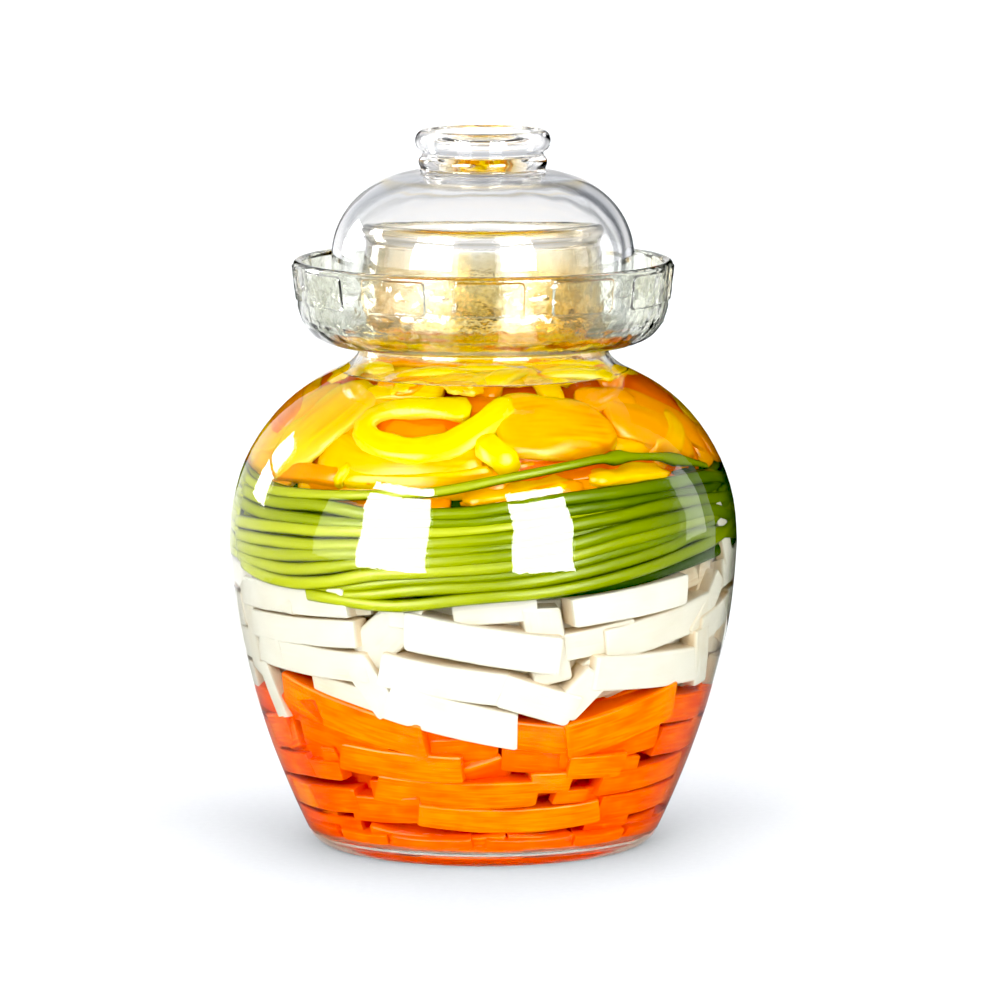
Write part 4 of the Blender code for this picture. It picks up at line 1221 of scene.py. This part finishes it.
def lay_top_strip(piles, draw):
    """A strip that lies on the peppers, near the brine's surface, arched and kept inside the jar's mouth."""
    pile = piles[draw.random() >= 0.6]
    reach, azimuth = STRIP_REACH * draw.random() ** 0.6, math.degrees(draw.uniform(0, math.tau))
    turn = draw.uniform(0, math.pi)
    length, width = draw.uniform(0.026, 0.042), draw.uniform(0.01, 0.016)
    centre = np.array(on_circle(azimuth, reach, STRIP_HEIGHT + draw.uniform(0, 0.0075)))
    along = np.array([math.cos(turn), math.sin(turn), draw.uniform(-0.08, 0.08)])
    shares = np.linspace(-1, 1, 9)[:, None]
    path = centre + along * shares * length / 2 - np.array([0, 0, draw.uniform(0.002, 0.006)]) * shares ** 2
    path[:, :2] *= np.minimum(1, STRIP_LIMIT / np.hypot(*path[:, :2].T))[:, None]
    pile.sweep(path, [(0, 0, 1)] * len(path), width / 2, SHEET_DEPTH / 2, power=4.5, sides=18,
               crown=SHEET_CROWN, ends=min(width, 0.014) * 0.45, tone=draw.uniform(0.3, 1.0), wobble=0.06)


def make_peppers():
    piles = yellows, oranges = Pile(SEED + 4), Pile(SEED + 5)
    for kind, tone, width, inset, course in PEPPERS:
        lay_sheet(piles[kind == "orange"], course, width * MM, inset, tone)
    draw = random.Random(SEED + 6)
    lay_back_sheets(piles, draw)
    for _ in range(TOP_STRIPS):
        lay_top_strip(piles, draw)
    yellow = pepper_look("yellow_pepper", YELLOW, (1.0, 0.82, 0.1))
    orange = pepper_look("orange_pepper", ORANGE, (1.0, 0.55, 0.04))
    return yellows.build("yellow_pepper_pieces", yellow), oranges.build("orange_pepper_pieces", orange)


# Stage

# Azimuth, distance, width, bottom, top and radiance of each lamp that only glass mirrors
PANELS = (
    ("window_left", -39.3, 0.93, 0.535, 0.01, 0.705, WINDOW),
    ("window_left_top", -39.3, 0.93, 0.535, 0.75, 0.85, WINDOW),
    ("window_right", 26.2, 0.93, 0.455, 0.01, 0.7, WINDOW),
    ("window_right_top", 26.2, 0.93, 0.455, 0.746, 0.85, WINDOW),
    ("window_far_left", -124.0, 0.93, 0.22, 0.22, 0.385, 16.0),
    ("window_far_left_top", -124.0, 0.93, 0.22, 0.415, 0.62, 16.0),
    ("sheen_left", -66.0, 1.1, 0.46, 0.05, 0.6, 4.0),
    ("sheen_right", 108.0, 1.1, 0.3, 0.1, 0.6, 3.0),
)
# Azimuth, elevation, level and spread of each lamp that only lights
SOFT_LIGHTS = (
    ("key", -28, 18, 0.66, 40), ("fill", 38, 13, 0.5, 45), ("left", -85, 15, 0.4, 50),
    ("right", 85, 15, 0.38, 50), ("back", 180, 22, 0.55, 60), ("top", 10, 76, 0.26, 60),
    ("bounce", 0, -88, 0.8, 150), ("bounce_front", -5, -34, 0.34, 70),
)
# Each dark board's start and end in degrees, the radius and height of its two edges, and its grey
FLAGS = (
    ("flag_right", 119, 167, (0.5, 0.0), (0.5, 0.6), 0.01),
    ("flag_left", -169, -158, (1.0, 0.06), (1.0, 0.5), 0.01),
    ("flag_low_left", -150, -34, (0.075, 0.001), (0.6, 0.001), 0.2),
    ("flag_low_right", 34, 150, (0.075, 0.001), (0.6, 0.001), 0.2),
)


def add_camera():
    data = bpy.data.cameras.new("camera")
    camera = linked("camera", data)
    elevation = math.radians(CAMERA_ELEVATION)
    x, y, z = CAMERA_TARGET
    camera.location = (
        x, y - CAMERA_DISTANCE * math.cos(elevation), z + CAMERA_DISTANCE * math.sin(elevation))
    camera.rotation_euler = (math.pi / 2 - elevation, 0, 0)
    data.sensor_width = SENSOR_WIDTH
    data.lens = SENSOR_WIDTH * CAMERA_DISTANCE / FRAME_WIDTH
    data.clip_start, data.clip_end = 0.1, 100.0
    bpy.context.scene.camera = camera


def add_panel(name, azimuth, distance, width, low, high, radiance):
    """An upright lamp that faces the axis and only shows in glass."""
    data = bpy.data.lights.new(name, "AREA")
    data.shape = "RECTANGLE"
    data.size, data.size_y = width, high - low
    data.energy = radiance * width * (high - low) * math.pi
    lamp = linked(name, data)
    lamp.location = on_circle(azimuth, distance, (low + high) / 2)
    lamp.rotation_euler = (math.pi / 2, 0, math.radians(azimuth))
    lamp.visible_camera = lamp.visible_diffuse = False


def add_soft_light(name, azimuth, elevation, level, spread):
    """Even light from one side. level is what it adds to a white face turned to it."""
    data = bpy.data.lights.new(name, "SUN")
    data.energy = level * math.pi
    data.angle = math.radians(spread)
    data.cycles.use_multiple_importance_sampling = False
    lamp = linked(name, data)
    lamp.rotation_euler = (math.pi / 2 - math.radians(elevation), 0, math.radians(azimuth))
    lamp.visible_camera = lamp.visible_glossy = lamp.visible_transmission = False


def matt_look(name, scale, low, high):
    look = Look(name)
    grain = look.ramp(look.noise(scale, look.place()), ((0.3, low), (0.7, high)))
    look.set(Base_Color=grain, Roughness=0.9, Specular_IOR_Level=0.0)
    return look.material


def add_flag(name, start, end, first_edge, second_edge, grey):
    """A dark board that only the glass mirrors, behind the jar or low over the floor."""
    azimuths = np.linspace(start, end, FLAG_COLUMNS + 1)
    vertices = [on_circle(azimuth, *edge) for azimuth in azimuths for edge in (first_edge, second_edge)]
    faces = [(i, i + 2, i + 3, i + 1) for i in range(0, 2 * FLAG_COLUMNS, 2)]
    look = matt_look(name, 20.0, (grey,) * 3, (grey * 1.3, grey * 1.3, grey * 1.25))
    flag = linked(name, mesh_of(name, vertices, faces, look, smooth=False))
    flag.visible_camera = flag.visible_diffuse = flag.visible_transmission = flag.visible_shadow = False


def add_floor():
    """A pale disc. Lamps from below shine through it."""
    corners = [on_circle(i * 360 / FLOOR_SIDES, FLOOR_REACH, 0.0) for i in range(FLOOR_SIDES)]
    look = matt_look("pale_floor", 300.0, (0.83,) * 3, (0.85,) * 3)
    floor = linked("floor", mesh_of("floor", corners, [tuple(range(FLOOR_SIDES))], look, smooth=False))
    floor.visible_shadow = False


def add_world():
    """White at the horizon behind the jar, greyer overhead and in front."""
    world = bpy.data.worlds.new("studio")
    bpy.context.scene.world = world
    world.use_nodes = True
    nodes = Nodes(world.node_tree)
    _, y, z = nodes.axes(nodes.node("TexCoord", output="Generated"))
    sky = nodes.ramp((z + (y * -0.4).limited()).limited(), (
        (0.0, WHITE), (0.1, (0.98, 0.98, 0.99)), (0.28, (0.68, 0.7, 0.73)), (0.75, (0.45, 0.47, 0.52))))
    nodes.feed(sky, nodes.tree.nodes["Background"].inputs["Color"])


def render_settings():
    scene = bpy.context.scene
    view = scene.view_settings
    view.view_transform = "Standard"
    view.look = "None"
    view.use_curve_mapping = True
    view.curve_mapping.black_level = (BLACK, BLACK, BLACK)
    cycles = scene.cycles
    cycles.max_bounces = 24
    cycles.transmission_bounces = 20
    cycles.glossy_bounces = 8
    cycles.diffuse_bounces = 3
    cycles.transparent_max_bounces = 64
    cycles.caustics_reflective = cycles.caustics_refractive = False
    cycles.sample_clamp_indirect = 12.0


def make_jar():
    jar = turned("jar_glass", thinned(jar_outline()), panel_azimuths(), jar_relief, panel_edge_shade)
    jar.data.materials.append(jar_glass_look("jar_glass", 0.4))
    jar.data.materials.append(jar_glass_look("jar_glass_in_brine", 0.09))
    wetted(jar.data, lambda r, z: WET_FROM < z < BRINE_LEVEL and r < inner_radius(z) + WET_REACH)
    return jar


def lid_relief(phi, height, line):
    """The slightly uneven blown surface, which fades out at the lid's rim and knob."""
    fade = smooth_step((height - 0.22) / 0.02) * smooth_step((0.279 - height) / 0.01)
    return (ripples(phi, height, BLOWN) - 0.00025) * 0.5 * fade


def make_lid():
    lid = turned("lid_glass", lid_outline(), np.arange(288) * 1.25, lid_relief)
    lid.data.materials.append(lid_glass_look())
    return lid


def make_brine():
    brine = turned("brine", brine_outline(), np.arange(144) * 2.5)
    brine.data.materials.append(brine_look("brine_surface", 0.6))
    brine.data.materials.append(brine_look("brine_at_glass", 0.0))
    wetted(brine.data, lambda r, z: z < BRINE_LEVEL - 0.0005 or r > inner_radius(z))
    return brine


def make_cores():
    """A core a layer, by the slot of its material. Each core is coloured deeper and darker than its layer's
    pieces: painted shade for the gaps between them.
    """
    deep_pepper = pepper_look("pepper_core", DEEP, (1.0, 0.45, 0.02))
    return {
        "carrot": core_mesh("carrot_core", FILL_FLOOR, CARROT_TOP, 0.018, carrot_look("carrot_core", True)),
        "radish": core_mesh("radish_core", CARROT_TOP, RADISH_TOP, 0.02, radish_look("radish_core", True)),
        "scape": core_mesh("scape_core", RADISH_TOP, SCAPE_TOP, 0.011, scape_look("scape_core", True)),
        "pepper": core_mesh("pepper_core", SCAPE_TOP, (0.184,), 0.0095, deep_pepper),
    }


def main():
    yellow, orange = make_peppers()
    pieces = [
        (make_jar(), "jar", "glass"), (make_lid(), "lid", "glass"), (make_brine(), None, "brine"),
        (make_carrots(), "carrot_sticks", "carrot"), (make_radishes(), "radish_sticks", "radish"),
        (make_scapes(), "garlic_scapes", "scape"), (yellow, "pepper_strips", "pepper"),
        (orange, "pepper_strips", "pepper")]
    pieces += [(core, None, slot) for slot, core in make_cores().items()]
    for piece, node, slot in pieces:
        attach(piece, "root")
        if node:
            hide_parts(node)
    add_camera()
    add_world()
    add_floor()
    for add, rows in ((add_panel, PANELS), (add_soft_light, SOFT_LIGHTS), (add_flag, FLAGS)):
        for row in rows:
            add(*row)
    render_settings()


main()
